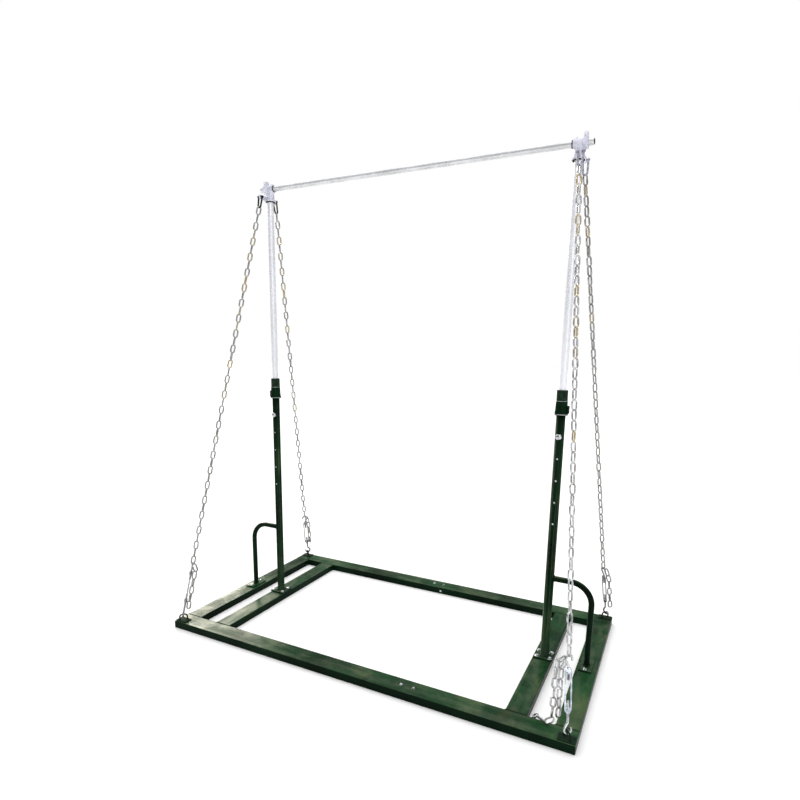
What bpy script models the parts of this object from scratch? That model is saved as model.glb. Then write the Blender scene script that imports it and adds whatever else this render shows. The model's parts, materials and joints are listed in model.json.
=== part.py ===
"""Free-standing gymnastics horizontal bar with telescoping posts and chain guys.

Metres, +Z up. The origin is the centre of the base frame's footprint on the floor.
+X runs along the bar, -Y is the front. Pieces of the base frame stand GAP apart where
the real ones touch.
"""

import math

import bmesh
import bpy
from mathutils import Matrix, Vector

GAP = 0.0003

# Base frame of flat rectangular tube
BASE_LENGTH = 2.166
BASE_WIDTH = 1.226
BEAM_WIDTH = 0.100
BEAM_HEIGHT = 0.040
BEAM_WALL = 0.003
BEAM_EDGE = 0.004
CROSS_REACH = BASE_WIDTH / 2 - BEAM_WIDTH - GAP
OUTER_CROSS = (0.986, BASE_LENGTH / 2)
INNER_CROSS = (0.776, 0.869)
FRONT_SPLICE_X = 0.235
REAR_SPLICE_X = -0.085
TONGUE_REACH = 0.100
TONGUE_ROOT = 0.030

# Posts, upper tubes and the bar
POST_X = 0.827
POST_RADIUS = 0.021
POST_BORE = 0.0175
POST_TOP = 1.3155
PLATE_THICKNESS = 0.006
PLATE_SIZE = (0.095, 0.090)
PLATE_BOLT_X = 0.031
PLATE_BOLT_Y = 0.0285
TUBE_RADIUS = 0.017
TUBE_BORE = 0.0145
TUBE_BOTTOM = 0.700
TUBE_TOP = 2.372
BAR_HEIGHT = 2.400
BAR_RADIUS = 0.014
BAR_HALF_LENGTH = 0.886

# Height setting: one pin a side through a row of holes
HOLE_TOP = 1.152
HOLE_PITCH = 0.105
HOLE_COUNT = 7
HOLE_RADIUS = 0.0052
PIN_RADIUS = 0.0048
PIN_HEAD_RADIUS = 0.0145
PIN_TIP_CLEARANCE = 0.0005

# Collar and its cap at the top of each post
COLLAR_BOTTOM = 1.250
CAP_TOP = 1.366
CAP_RADIUS = 0.0255

# Side braces
BRACE_RADIUS = 0.014
BRACE_BEND = 0.103
BRACE_TOP = 0.455
BRACE_LEG_X = 1.030
FOOT_SIZE = (0.060, 0.120)

# Bolts that hold the posts to the base
BOLT_RADIUS = 0.0050
BOLT_HOLE = 0.0056
BOLT_HEAD_RADIUS = 0.0100
BOLT_HEAD_HEIGHT = 0.0080
BOLT_LENGTH = 0.022

# Guys: a ring, two hooks, a turnbuckle, a chain and a shackle at each corner
RING_X = 1.044
RING_Y = 0.584
RING_WIRE = 0.004
RING_HALF_WIDTH = 0.020
RING_RISE = 0.030
RING_PLATE = (0.070, 0.046, 0.005)
LUG_X = 0.845
LUG_Y = 0.060
LUG_Z = 2.350
SHACKLE_LENGTH = 0.060
SHACKLE_WIRE = 0.004
SHACKLE_HALF_WIDTH = 0.010
HOOK_WIRE = 0.0048
HOOK_ARC = 0.0155
ROD_RADIUS = 0.0055
BODY_START = 0.062
BODY_LENGTH = 0.178
BODY_HALF_WIDTH = 0.016
BODY_BAR = 0.0065
ROD_ENTRY = 0.050
UPPER_HOOK_AT = 0.273
CHAIN_RADIUS = 0.006

CORNERS = {
    "front_left": (-1, -1),
    "front_right": (1, -1),
    "rear_left": (-1, 1),
    "rear_right": (1, 1),
}
TAIL_SIDE = {"front_left": 1, "front_right": -1, "rear_left": 1, "rear_right": 1}
SIDES = {"left": -1, "right": 1}


def clear_scene():
    for obj in list(bpy.data.objects):
        bpy.data.objects.remove(obj)


def new_collection(name):
    collection = bpy.data.collections.new(name)
    bpy.context.scene.collection.children.link(collection)
    return collection


clear_scene()
PARTS = new_collection("horizontal_bar")
CUTTERS = new_collection("cutters")


def finish(name, colour, roughness, metallic):
    material = bpy.data.materials.new(name)
    material.use_nodes = True
    shader = material.node_tree.nodes["Principled BSDF"]
    shader.inputs["Base Color"].default_value = (*colour, 1.0)
    shader.inputs["Roughness"].default_value = roughness
    shader.inputs["Metallic"].default_value = metallic
    return material


GREEN_PAINT = finish("green_paint", (0.020, 0.085, 0.045), 0.35, 0.0)
ZINC = finish("zinc_plate", (0.72, 0.72, 0.70), 0.30, 1.0)
GALVANISED = finish("galvanised_tube", (0.80, 0.81, 0.84), 0.38, 1.0)
BAR_STEEL = finish("bar_steel", (0.68, 0.68, 0.67), 0.25, 1.0)
BLACK_RUBBER = finish("black_rubber", (0.015, 0.015, 0.014), 0.60, 0.0)
DARK_IRON = finish("dark_iron", (0.035, 0.040, 0.037), 0.45, 0.0)


# Building blocks


def add_box(bm, low, high):
    centre = (Vector(low) + Vector(high)) / 2
    size = Vector(high) - Vector(low)
    matrix = Matrix.Translation(centre) @ Matrix.Diagonal((*size, 1.0))
    return bmesh.ops.create_cube(bm, size=1.0, matrix=matrix)["verts"]


def add_rod(bm, start, end, radius, segments=24):
    start = Vector(start)
    axis = Vector(end) - start
    turn = axis.to_track_quat("Z", "Y").to_matrix().to_4x4()
    matrix = Matrix.Translation(start + axis / 2) @ turn
    bmesh.ops.create_cone(
        bm,
        cap_ends=True,
        segments=segments,
        radius1=radius,
        radius2=radius,
        depth=axis.length,
        matrix=matrix,
    )


def mesh_object(name, bm, material=None):
    mesh = bpy.data.meshes.new(name)
    bm.to_mesh(mesh)
    bm.free()
    mesh.shade_smooth()
    mesh.set_sharp_from_angle(angle=math.radians(35))
    obj = bpy.data.objects.new(name, mesh)
    if material is None:
        CUTTERS.objects.link(obj)
        obj.hide_render = True
        obj.display_type = "WIRE"
    else:
        PARTS.objects.link(obj)
        mesh.materials.append(material)
    return obj


def combine(obj, tool, operation):
    modifier = obj.modifiers.new(f"{operation.lower()}_{tool.name}", "BOOLEAN")
    modifier.operation = operation
    modifier.solver = "EXACT"
    modifier.object = tool


def bevel_upright(bm, verts, axis, width):
    """Round the four edges of a box that run along one axis."""
    edges = {e for v in verts for e in v.link_edges}
    along = [e for e in edges if abs((e.verts[0].co - e.verts[1].co).normalized()[axis]) > 0.9]
    bmesh.ops.bevel(bm, geom=along, offset=width, segments=2, profile=0.5, affect="EDGES")


def turned(name, profile, material, steps=32):
    """Turn a closed profile of (radius, height) points round Z, outer side first, going down."""
    mesh = bpy.data.meshes.new(name)
    points = [(radius, 0.0, height) for radius, height in profile]
    last = len(points) - 1
    edges = [(i, i + 1) for i in range(last)]
    if profile[0][0] > 0:
        edges.append((last, 0))
    mesh.from_pydata(points, edges, [])
    obj = bpy.data.objects.new(name, mesh)
    mesh.materials.append(material)
    PARTS.objects.link(obj)
    screw = obj.modifiers.new("turn", "SCREW")
    screw.steps = steps
    screw.render_steps = steps
    screw.use_merge_vertices = True
    screw.merge_threshold = 0.00001
    return obj


def bent_wire(name, points, radius, material, resolution=2, closed=False):
    curve = bpy.data.curves.new(name, "CURVE")
    curve.dimensions = "3D"
    curve.bevel_depth = radius
    curve.bevel_resolution = resolution
    curve.use_fill_caps = True
    spline = curve.splines.new("POLY")
    spline.points.add(len(points) - 1)
    for spot, point in zip(spline.points, points):
        spot.co = (*point, 1.0)
    spline.use_cyclic_u = closed
    curve.materials.append(material)
    obj = bpy.data.objects.new(name, curve)
    PARTS.objects.link(obj)
    return obj


def wire_to_mesh(wire):
    """Swap a wire curve for a welded mesh, so that it can be cut and joined."""
    name = wire.name
    bpy.context.view_layer.update()
    depsgraph = bpy.context.evaluated_depsgraph_get()
    mesh = bpy.data.meshes.new_from_object(wire.evaluated_get(depsgraph))
    place = wire.matrix_world.copy()
    bpy.data.objects.remove(wire)
    bm = bmesh.new()
    bm.from_mesh(mesh)
    bmesh.ops.remove_doubles(bm, verts=bm.verts, dist=0.00001)
    bm.to_mesh(mesh)
    bm.free()
    obj = bpy.data.objects.new(name, mesh)
    obj.matrix_world = place
    PARTS.objects.link(obj)
    return obj


def arc(centre, radius, start, end, steps):
    """Points of an arc in a plane, with angles in degrees."""
    angles = [math.radians(start + (end - start) * i / steps) for i in range(steps + 1)]
    return [(centre[0] + radius * math.cos(a), centre[1] + radius * math.sin(a)) for a in angles]


# Base frame


def box_tube(name, low, high, axis):
    """An open rectangular tube along X (axis 0) or Y (axis 1)."""
    bm = bmesh.new()
    verts = add_box(bm, low, high)
    bevel_upright(bm, verts, axis, BEAM_EDGE)
    obj = mesh_object(name, bm, GREEN_PAINT)
    wall = Vector((BEAM_WALL, BEAM_WALL, BEAM_WALL))
    wall[axis] = -0.010
    cutter = bmesh.new()
    add_box(cutter, Vector(low) + wall, Vector(high) - wall)
    combine(obj, mesh_object(f"{name}_hollow", cutter), "DIFFERENCE")
    return obj


def long_beam(row, side_y, splice_x):
    """A long beam in two halves; the left one carries the tongue that enters the right one."""
    inner = side_y * (BASE_WIDTH / 2 - BEAM_WIDTH)
    outer = side_y * BASE_WIDTH / 2
    y_low = min(inner, outer)
    y_high = max(inner, outer)
    end = BASE_LENGTH / 2
    left = closed_half(f"beam_{row}_left", (-end, splice_x), (y_low, y_high), -1)
    closed_half(f"beam_{row}_right", (splice_x + GAP, end), (y_low, y_high), 1)
    add_tongue(left, splice_x, (y_low, y_high))


def closed_half(name, span_x, span_y, closed_side):
    bm = bmesh.new()
    verts = add_box(bm, (span_x[0], span_y[0], 0.0), (span_x[1], span_y[1], BEAM_HEIGHT))
    bevel_upright(bm, verts, 0, BEAM_EDGE)
    obj = mesh_object(name, bm, GREEN_PAINT)
    past = 0.010
    low_x = span_x[0] + BEAM_WALL if closed_side < 0 else span_x[0] - past
    high_x = span_x[1] - BEAM_WALL if closed_side > 0 else span_x[1] + past
    cutter = bmesh.new()
    low = (low_x, span_y[0] + BEAM_WALL, BEAM_WALL)
    high = (high_x, span_y[1] - BEAM_WALL, BEAM_HEIGHT - BEAM_WALL)
    add_box(cutter, low, high)
    combine(obj, mesh_object(f"{name}_hollow", cutter), "DIFFERENCE")
    return obj


def add_tongue(half, splice_x, span_y):
    """A short inner tube: tight in its own half, with clearance where it stands out."""
    weld = 0.0010
    clear = BEAM_WALL + GAP
    bm = bmesh.new()
    own_low = (splice_x - TONGUE_ROOT, span_y[0] + BEAM_WALL - weld, BEAM_WALL - weld)
    own_high = (splice_x - 0.002, span_y[1] - BEAM_WALL + weld, BEAM_HEIGHT - BEAM_WALL + weld)
    add_box(bm, own_low, own_high)
    combine(half, mesh_object(f"{half.name}_tongue_root", bm), "UNION")
    bm = bmesh.new()
    out_low = (splice_x - TONGUE_ROOT / 2, span_y[0] + clear, clear)
    out_high = (splice_x + TONGUE_REACH, span_y[1] - clear, BEAM_HEIGHT - clear)
    add_box(bm, out_low, out_high)
    combine(half, mesh_object(f"{half.name}_tongue", bm), "UNION")
    bm = bmesh.new()
    bore = 2 * BEAM_WALL
    bore_low = (splice_x - 2 * TONGUE_ROOT, span_y[0] + bore, bore)
    bore_high = (splice_x + 2 * TONGUE_REACH, span_y[1] - bore, BEAM_HEIGHT - bore)
    add_box(bm, bore_low, bore_high)
    combine(half, mesh_object(f"{half.name}_tongue_bore", bm), "DIFFERENCE")


def cross_beam(name, side, span, drilled):
    low_x, high_x = sorted((side * span[0], side * span[1]))
    low = (low_x, -CROSS_REACH, 0.0)
    high = (high_x, CROSS_REACH, BEAM_HEIGHT)
    beam = box_tube(name, low, high, 1)
    if drilled:
        drill_plate_holes(beam, side, BEAM_HEIGHT - 2 * BEAM_WALL, BEAM_HEIGHT + BEAM_WALL)


def plate_bolt_spots(side):
    x = side * POST_X
    return [
        (x + i * PLATE_BOLT_X, j * PLATE_BOLT_Y)
        for i in (-1, 1)
        for j in (-1, 1)
    ]


def drill_plate_holes(obj, side, low_z, high_z):
    bm = bmesh.new()
    for x, y in plate_bolt_spots(side):
        add_rod(bm, (x, y, low_z), (x, y, high_z), BOLT_HOLE, 16)
    combine(obj, mesh_object(f"{obj.name}_bolt_holes", bm), "DIFFERENCE")


def corner_ring(corner, sx, sy):
    """A bent wire staple on a small welded plate, along the corner's diagonal."""
    seat = BEAM_HEIGHT + GAP
    foot = seat + RING_PLATE[2] / 2
    crown = seat + RING_PLATE[2] + RING_RISE
    bend = RING_HALF_WIDTH * 0.7
    flat = RING_HALF_WIDTH - bend
    outline = [(RING_HALF_WIDTH, foot)]
    outline += arc((flat, crown - bend), bend, 0, 90, 5)
    outline += arc((-flat, crown - bend), bend, 90, 180, 5)
    outline += [(-RING_HALF_WIDTH, foot)]
    along = Vector((-sx, -sy, 0)).normalized()
    centre = Vector((sx * RING_X, sy * RING_Y, 0))
    points = [centre + along * u + Vector((0, 0, z)) for u, z in outline]
    ring = wire_to_mesh(bent_wire(f"corner_ring_{corner}", points, RING_WIRE, DARK_IRON, 3))
    bm = bmesh.new()
    length, width, thickness = RING_PLATE
    low = (centre.x - length / 2, centre.y - width / 2, seat)
    high = (centre.x + length / 2, centre.y + width / 2, seat + thickness)
    add_box(bm, low, high)
    combine(ring, mesh_object(f"corner_ring_{corner}_plate", bm), "UNION")


# Posts and what is fixed to them


def post(label, side):
    """The lower tube with its base plate, drilled for the lock pin and the bolts."""
    x = side * POST_X
    seat = BEAM_HEIGHT + GAP
    bm = bmesh.new()
    low = (x - PLATE_SIZE[0] / 2, -PLATE_SIZE[1] / 2, seat)
    high = (x + PLATE_SIZE[0] / 2, PLATE_SIZE[1] / 2, seat + PLATE_THICKNESS)
    verts = add_box(bm, low, high)
    bevel_upright(bm, verts, 2, BEAM_EDGE)
    obj = mesh_object(f"post_{label}", bm, GREEN_PAINT)
    shaft = bmesh.new()
    add_rod(shaft, (x, 0, seat + PLATE_THICKNESS / 2), (x, 0, POST_TOP), POST_RADIUS, 32)
    combine(obj, mesh_object(f"post_{label}_shaft", shaft), "UNION")
    bore = bmesh.new()
    add_rod(bore, (x, 0, seat + PLATE_THICKNESS), (x, 0, POST_TOP + 0.05), POST_BORE, 32)
    combine(obj, mesh_object(f"post_{label}_bore", bore), "DIFFERENCE")
    holes = bmesh.new()
    for i in range(HOLE_COUNT):
        z = HOLE_TOP - i * HOLE_PITCH
        add_rod(holes, (x, -0.05, z), (x, 0.05, z), HOLE_RADIUS, 16)
    combine(obj, mesh_object(f"post_{label}_pin_holes", holes), "DIFFERENCE")
    drill_plate_holes(obj, side, 0.0, seat + 2 * PLATE_THICKNESS)


def post_bolts(label, side):
    under_head = BEAM_HEIGHT + 2 * GAP + PLATE_THICKNESS
    for number, (x, y) in enumerate(plate_bolt_spots(side), start=1):
        bm = bmesh.new()
        head_top = under_head + BOLT_HEAD_HEIGHT
        add_rod(bm, (x, y, under_head), (x, y, head_top), BOLT_HEAD_RADIUS, 6)
        bolt = mesh_object(f"post_bolt_{label}_{number}", bm, ZINC)
        shank = bmesh.new()
        middle = under_head + BOLT_HEAD_HEIGHT / 2
        add_rod(shank, (x, y, under_head - BOLT_LENGTH), (x, y, middle), BOLT_RADIUS, 16)
        combine(bolt, mesh_object(f"post_bolt_{label}_{number}_shank", shank), "UNION")


def brace(label, side):
    """A tube bent through a right angle, from the post down to its foot plate."""
    centre = (BRACE_LEG_X - BRACE_BEND, BRACE_TOP - BRACE_BEND)
    seat = BEAM_HEIGHT + GAP
    outline = [(POST_X, BRACE_TOP)]
    outline += arc(centre, BRACE_BEND, 90, 0, 12)
    outline += [(BRACE_LEG_X, seat + PLATE_THICKNESS / 2)]
    points = [Vector((side * x, 0, z)) for x, z in outline]
    tube = wire_to_mesh(bent_wire(f"brace_{label}", points, BRACE_RADIUS, GREEN_PAINT, 6))
    foot = bmesh.new()
    x = side * BRACE_LEG_X
    low = (x - FOOT_SIZE[0] / 2, -FOOT_SIZE[1] / 2, seat)
    high = (x + FOOT_SIZE[0] / 2, FOOT_SIZE[1] / 2, seat + PLATE_THICKNESS)
    add_box(foot, low, high)
    combine(tube, mesh_object(f"brace_{label}_foot", foot), "UNION")
    cope = bmesh.new()
    x = side * POST_X
    add_rod(cope, (x, 0, BRACE_TOP - 0.05), (x, 0, BRACE_TOP + 0.05), POST_RADIUS + GAP, 48)
    combine(tube, mesh_object(f"brace_{label}_cope", cope), "DIFFERENCE")


def collar(label, side):
    """A bell-shaped sleeve round the post's top with a clamp ear on the outer side."""
    bore = POST_RADIUS + GAP
    profile = [
        (0.0262, POST_TOP),
        (0.0272, POST_TOP - 0.002),
        (0.0268, POST_TOP - 0.008),
        (0.0300, COLLAR_BOTTOM + 0.010),
        (0.0312, COLLAR_BOTTOM + 0.006),
        (0.0305, COLLAR_BOTTOM + 0.002),
        (0.0262, COLLAR_BOTTOM),
        (bore, COLLAR_BOTTOM),
        (bore, POST_TOP),
    ]
    sleeve = turned(f"collar_{label}", profile, GREEN_PAINT)
    sleeve.location.x = side * POST_X
    ear = bmesh.new()
    inner, outer = sorted((side * (POST_X + 0.0245), side * (POST_X + 0.0350)))
    low = (inner, -0.011, COLLAR_BOTTOM + 0.008)
    high = (outer, 0.011, COLLAR_BOTTOM + 0.046)
    verts = add_box(ear, low, high)
    bevel_upright(ear, verts, 1, BEAM_EDGE)
    combine(sleeve, mesh_object(f"collar_{label}_ear", ear), "UNION")


def collar_cap(label, side):
    bore = TUBE_RADIUS + GAP
    bottom = POST_TOP + GAP
    profile = [
        (0.0235, CAP_TOP),
        (CAP_RADIUS, CAP_TOP - 0.002),
        (CAP_RADIUS, bottom + 0.001),
        (0.0250, bottom),
        (bore, bottom),
        (bore, CAP_TOP),
    ]
    cap = turned(f"collar_cap_{label}", profile, BLACK_RUBBER)
    cap.location.x = side * POST_X


# The part that rises and falls


def upper_tube(label, side):
    profile = [
        (TUBE_RADIUS, TUBE_TOP),
        (TUBE_RADIUS, TUBE_BOTTOM),
        (TUBE_BORE, TUBE_BOTTOM),
        (TUBE_BORE, TUBE_TOP),
    ]
    tube = turned(f"upper_tube_{label}", profile, GALVANISED)
    tube.location.x = side * POST_X
    x = side * POST_X
    hole = bmesh.new()
    add_rod(hole, (x, -0.03, HOLE_TOP), (x, 0.03, HOLE_TOP), HOLE_RADIUS, 16)
    combine(tube, mesh_object(f"upper_tube_{label}_hole", hole), "DIFFERENCE")


def head(label, side):
    """The cast head: a socket for the tube, a sleeve for the bar and two chain lugs."""
    x = side * POST_X
    bottom = 2.335
    socket = bmesh.new()
    add_rod(socket, (x, 0, bottom + 0.001), (x, 0, BAR_HEIGHT), 0.0225, 32)
    obj = mesh_object(f"head_{label}", socket, GALVANISED)
    added = {"sleeve": bmesh.new(), "clamp": bmesh.new(), "flange": bmesh.new()}
    inner = side * 0.802
    outer = side * 0.860
    add_rod(added["sleeve"], (inner, 0, BAR_HEIGHT), (outer, 0, BAR_HEIGHT), 0.021, 32)
    clamp_in = side * 0.842
    clamp_out = side * 0.862
    add_rod(added["clamp"], (clamp_in, 0, BAR_HEIGHT), (clamp_out, 0, BAR_HEIGHT), 0.0255, 32)
    add_rod(added["flange"], (x, 0, bottom), (x, 0, bottom + 0.007), 0.031, 32)
    for name, bm in added.items():
        combine(obj, mesh_object(f"head_{label}_{name}", bm), "UNION")
    ear = bmesh.new()
    ear_in, ear_out = sorted((side * 0.8435, side * 0.8605))
    verts = add_box(ear, (ear_in, -0.012, BAR_HEIGHT + 0.018), (ear_out, 0.012, BAR_HEIGHT + 0.042))
    bevel_upright(ear, verts, 1, BEAM_EDGE)
    combine(obj, mesh_object(f"head_{label}_ear", ear), "UNION")
    for j in (-1, 1):
        lug = bmesh.new()
        y_low, y_high = sorted((j * 0.015, j * (LUG_Y + 0.010)))
        centre = side * LUG_X
        verts = add_box(lug, (centre - 0.004, y_low, bottom + 0.002), (centre + 0.004, y_high, 2.361))
        bevel_upright(lug, verts, 0, 0.006)
        combine(obj, mesh_object(f"head_{label}_lug_{j + 1}", lug), "UNION")
    holes = bmesh.new()
    add_rod(holes, (x, 0, bottom - 0.01), (x, 0, TUBE_TOP + GAP), TUBE_RADIUS + GAP, 32)
    add_rod(holes, (side * 0.79, 0, BAR_HEIGHT), (side * 0.88, 0, BAR_HEIGHT), BAR_RADIUS + GAP, 32)
    for j in (-1, 1):
        y = j * LUG_Y
        add_rod(holes, (side * 0.835, y, LUG_Z), (side * 0.855, y, LUG_Z), SHACKLE_WIRE + 0.0005, 16)
    combine(obj, mesh_object(f"head_{label}_holes", holes), "DIFFERENCE")


def high_bar():
    profile = [
        (0.0, BAR_HALF_LENGTH),
        (BAR_RADIUS - 0.0015, BAR_HALF_LENGTH),
        (BAR_RADIUS, BAR_HALF_LENGTH - 0.0015),
        (BAR_RADIUS, -BAR_HALF_LENGTH + 0.0015),
        (BAR_RADIUS - 0.0015, -BAR_HALF_LENGTH),
        (0.0, -BAR_HALF_LENGTH),
    ]
    bar = turned("high_bar", profile, BAR_STEEL)
    bar.rotation_euler = (0, math.radians(90), 0)
    bar.location.z = BAR_HEIGHT


def lock_pin(label, side):
    """A domed head on a shank that ends inside the post's wall, clear of the upper tube."""
    back = POST_RADIUS + GAP
    tip = POST_BORE + PIN_TIP_CLEARANCE
    dome = arc((0.0, back - 0.002), PIN_HEAD_RADIUS, 90, 30, 5)
    rim = [(PIN_HEAD_RADIUS, back + 0.0045), (PIN_HEAD_RADIUS, back + 0.001), (0.0135, back)]
    shank = [(PIN_RADIUS, back), (PIN_RADIUS, tip + 0.0005), (PIN_RADIUS - 0.0005, tip), (0.0, tip)]
    pin = turned(f"lock_pin_{label}", dome + rim + shank, ZINC, 24)
    pin.rotation_euler = (math.radians(90), 0, 0)
    pin.location = (side * POST_X, 0, HOLE_TOP)


# Guys


def guy_ends(sx, sy):
    """The hook's arc centre above the ring, and the bow of the shackle at the lug."""
    crown = BEAM_HEIGHT + GAP + RING_PLATE[2] + RING_RISE
    seat = HOOK_ARC - HOOK_WIRE - RING_WIRE - GAP
    lower = Vector((sx * RING_X, sy * RING_Y, crown + seat))
    lug = Vector((sx * LUG_X, sy * LUG_Y, LUG_Z))
    swing = Vector((0, lower.y - lug.y, lower.z - lug.z)).normalized()
    return lower, lug, swing


def guy_frame(sx, sy):
    """Object matrix with Z up the guy and X across the hooks."""
    lower, lug, swing = guy_ends(sx, sy)
    up = (lug + swing * SHACKLE_LENGTH - lower).normalized()
    across = Vector((sx, -sy, 0)).normalized()
    across = (across - up * across.dot(up)).normalized()
    side = up.cross(across)
    turn = Matrix((across, side, up)).transposed().to_4x4()
    return Matrix.Translation(lower) @ turn


def hook(name, frame, flip, arc_at, shank_end):
    """An open hook in the X-Z plane of the guy's frame; flip -1 turns it upside down."""
    outline = [(0.0, 0.034), (0.0, 0.027), (-0.0025, 0.0225), (-0.0105, 0.0145)]
    outline += arc((0.0, 0.0), HOOK_ARC, 155, 375, 16)
    points = [Vector((u, 0, arc_at + flip * w)) for u, w in outline]
    obj = wire_to_mesh(bent_wire(name, points, HOOK_WIRE, ZINC, 3))
    obj.matrix_world = frame
    rod = bmesh.new()
    add_rod(rod, (0, 0, arc_at + flip * 0.031), (0, 0, shank_end), ROD_RADIUS, 16)
    shank = mesh_object(f"{name}_rod", rod)
    shank.matrix_world = frame
    combine(obj, shank, "UNION")
    return obj


def turnbuckle(corner, frame):
    """An open forged body: a slotted bar with a bored boss at each end."""
    curve = bpy.data.curves.new(f"turnbuckle_{corner}", "CURVE")
    curve.dimensions = "2D"
    curve.fill_mode = "BOTH"
    curve.extrude = 0.0055
    middle = BODY_START + BODY_LENGTH / 2
    boss = 0.024
    for half_width, half_length in (
        (BODY_HALF_WIDTH, BODY_LENGTH / 2),
        (BODY_HALF_WIDTH - BODY_BAR, BODY_LENGTH / 2 - boss),
    ):
        straight = half_length - half_width
        outline = arc((straight, 0.0), half_width, -90, 90, 10)
        outline += arc((-straight, 0.0), half_width, 90, 270, 10)
        spline = curve.splines.new("POLY")
        spline.points.add(len(outline) - 1)
        for spot, (u, v) in zip(spline.points, outline):
            spot.co = (u, v, 0.0, 1.0)
        spline.use_cyclic_u = True
    curve.materials.append(ZINC)
    body = bpy.data.objects.new(f"turnbuckle_{corner}", curve)
    PARTS.objects.link(body)
    body = wire_to_mesh(body)
    stand = Matrix(((0, 1, 0, 0), (0, 0, 1, 0), (1, 0, 0, middle), (0, 0, 0, 1)))
    body.data.transform(stand)
    body.matrix_world = frame
    end = BODY_LENGTH / 2
    for j in (-1, 1):
        tool = bmesh.new()
        add_rod(tool, (0, 0, middle + j * end), (0, 0, middle + j * (end - boss)), 0.0105, 16)
        block = mesh_object(f"turnbuckle_{corner}_boss_{j + 1}", tool)
        block.matrix_world = frame
        combine(body, block, "UNION")
    bore = bmesh.new()
    reach = end + 0.01
    add_rod(bore, (0, 0, middle - reach), (0, 0, middle + reach), ROD_RADIUS + GAP, 16)
    cutter = mesh_object(f"turnbuckle_{corner}_bore", bore)
    cutter.matrix_world = frame
    combine(body, cutter, "DIFFERENCE")


def shackle(corner, sx, sy):
    """A long bow whose cross pin sits in the head's lug; it hangs from that pin."""
    lower, lug, swing = guy_ends(sx, sy)
    half = SHACKLE_HALF_WIDTH
    outline = arc((0.0, SHACKLE_LENGTH - half), half, 0, 180, 10)
    outline += [(-half, 0.0)]
    outline = [(half, 0.0)] + outline
    points = [Vector((u, 0, -w)) for u, w in outline]
    bow = wire_to_mesh(bent_wire(f"shackle_{corner}", points, SHACKLE_WIRE, DARK_IRON, 3))
    across = Vector((1, 0, 0))
    up = -swing
    side = up.cross(across)
    frame = Matrix.Translation(lug) @ Matrix((across, side, up)).transposed().to_4x4()
    bow.matrix_world = frame
    pin = bmesh.new()
    add_rod(pin, (-half - 0.006, 0, 0), (half + 0.006, 0, 0), SHACKLE_WIRE, 16)
    cross_pin = mesh_object(f"shackle_{corner}_pin", pin)
    cross_pin.matrix_world = frame
    combine(bow, cross_pin, "UNION")


def guy_chain(corner, frame, sx, sy):
    """A plain tube of the chain's own steel, from the upper hook to the shackle."""
    lower, lug, swing = guy_ends(sx, sy)
    start = UPPER_HOOK_AT + HOOK_ARC + HOOK_WIRE + 2 * GAP
    bow = lug + swing * (SHACKLE_LENGTH + SHACKLE_WIRE)
    end = (bow - lower).length - 0.003
    points = [frame @ Vector((0, 0, start + (end - start) * i / 6)) for i in range(7)]
    bent_wire(f"guy_chain_{corner}", points, CHAIN_RADIUS, ZINC)


def chain_tail(corner, frame):
    """The spare end of the chain, down from the upper hook beside the turnbuckle."""
    hung = frame @ Vector((0, 0, UPPER_HOOK_AT))
    beside = hung + Vector((TAIL_SIDE[corner] * 0.034, 0, -0.004))
    down = (frame @ Vector((0, 0, 0)) - hung).normalized()
    length = {"front_left": 0.235, "rear_left": 0.215, "rear_right": 0.225}
    if corner in length:
        points = [beside + down * (length[corner] * i / 5) for i in range(6)]
    else:
        points = front_right_tail(hung)
    bent_wire(f"chain_tail_{corner}", points, CHAIN_RADIUS, ZINC)


def front_right_tail(hung):
    """The longest spare end: down to the front beam, then over its inner edge."""
    route = [
        (0.986, hung.y, hung.z - 0.004),
        (0.984, hung.y - 0.001, 0.260),
        (0.983, hung.y - 0.003, 0.160),
        (0.981, hung.y - 0.005, 0.090),
        (0.976, hung.y - 0.006, 0.062),
        (0.962, hung.y - 0.005, 0.050),
        (0.944, hung.y + 0.001, 0.0475),
        (0.928, hung.y + 0.010, 0.0465),
        (0.914, hung.y + 0.022, 0.040),
        (0.903, hung.y + 0.037, 0.027),
        (0.894, hung.y + 0.056, 0.012),
    ]
    return [Vector(point) for point in route]


# Assembly


def build_base():
    long_beam("front", -1, FRONT_SPLICE_X)
    long_beam("rear", 1, REAR_SPLICE_X)
    for label, side in SIDES.items():
        cross_beam(f"crossbeam_outer_{label}", side, OUTER_CROSS, False)
        cross_beam(f"crossbeam_inner_{label}", side, INNER_CROSS, True)


def build_side(label, side):
    post(label, side)
    post_bolts(label, side)
    brace(label, side)
    collar(label, side)
    collar_cap(label, side)
    upper_tube(label, side)
    head(label, side)
    lock_pin(label, side)


def build_guy(corner, sx, sy):
    corner_ring(corner, sx, sy)
    frame = guy_frame(sx, sy)
    body_end = BODY_START + BODY_LENGTH
    hook(f"lower_hook_{corner}", frame, 1, 0.0, BODY_START + ROD_ENTRY)
    hook(f"upper_hook_{corner}", frame, -1, UPPER_HOOK_AT, body_end - ROD_ENTRY)
    turnbuckle(corner, frame)
    shackle(corner, sx, sy)
    guy_chain(corner, frame, sx, sy)
    chain_tail(corner, frame)


build_base()
high_bar()
for side_name, side_sign in SIDES.items():
    build_side(side_name, side_sign)
for corner_name, (sign_x, sign_y) in CORNERS.items():
    build_guy(corner_name, sign_x, sign_y)
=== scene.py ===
"""Height-adjustable horizontal bar on a guyed steel base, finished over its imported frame.

Metres, +Z up, +X along the bar, -Y to the front. Every piece is made in place, rides on
one of the frame's bodies and stands for the plain solids that it covers.
"""

import json
import math
import random

import bmesh
import bpy
from bpy.props import FloatProperty, FloatVectorProperty, IntProperty, PointerProperty
from mathutils import Matrix, Vector


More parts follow.
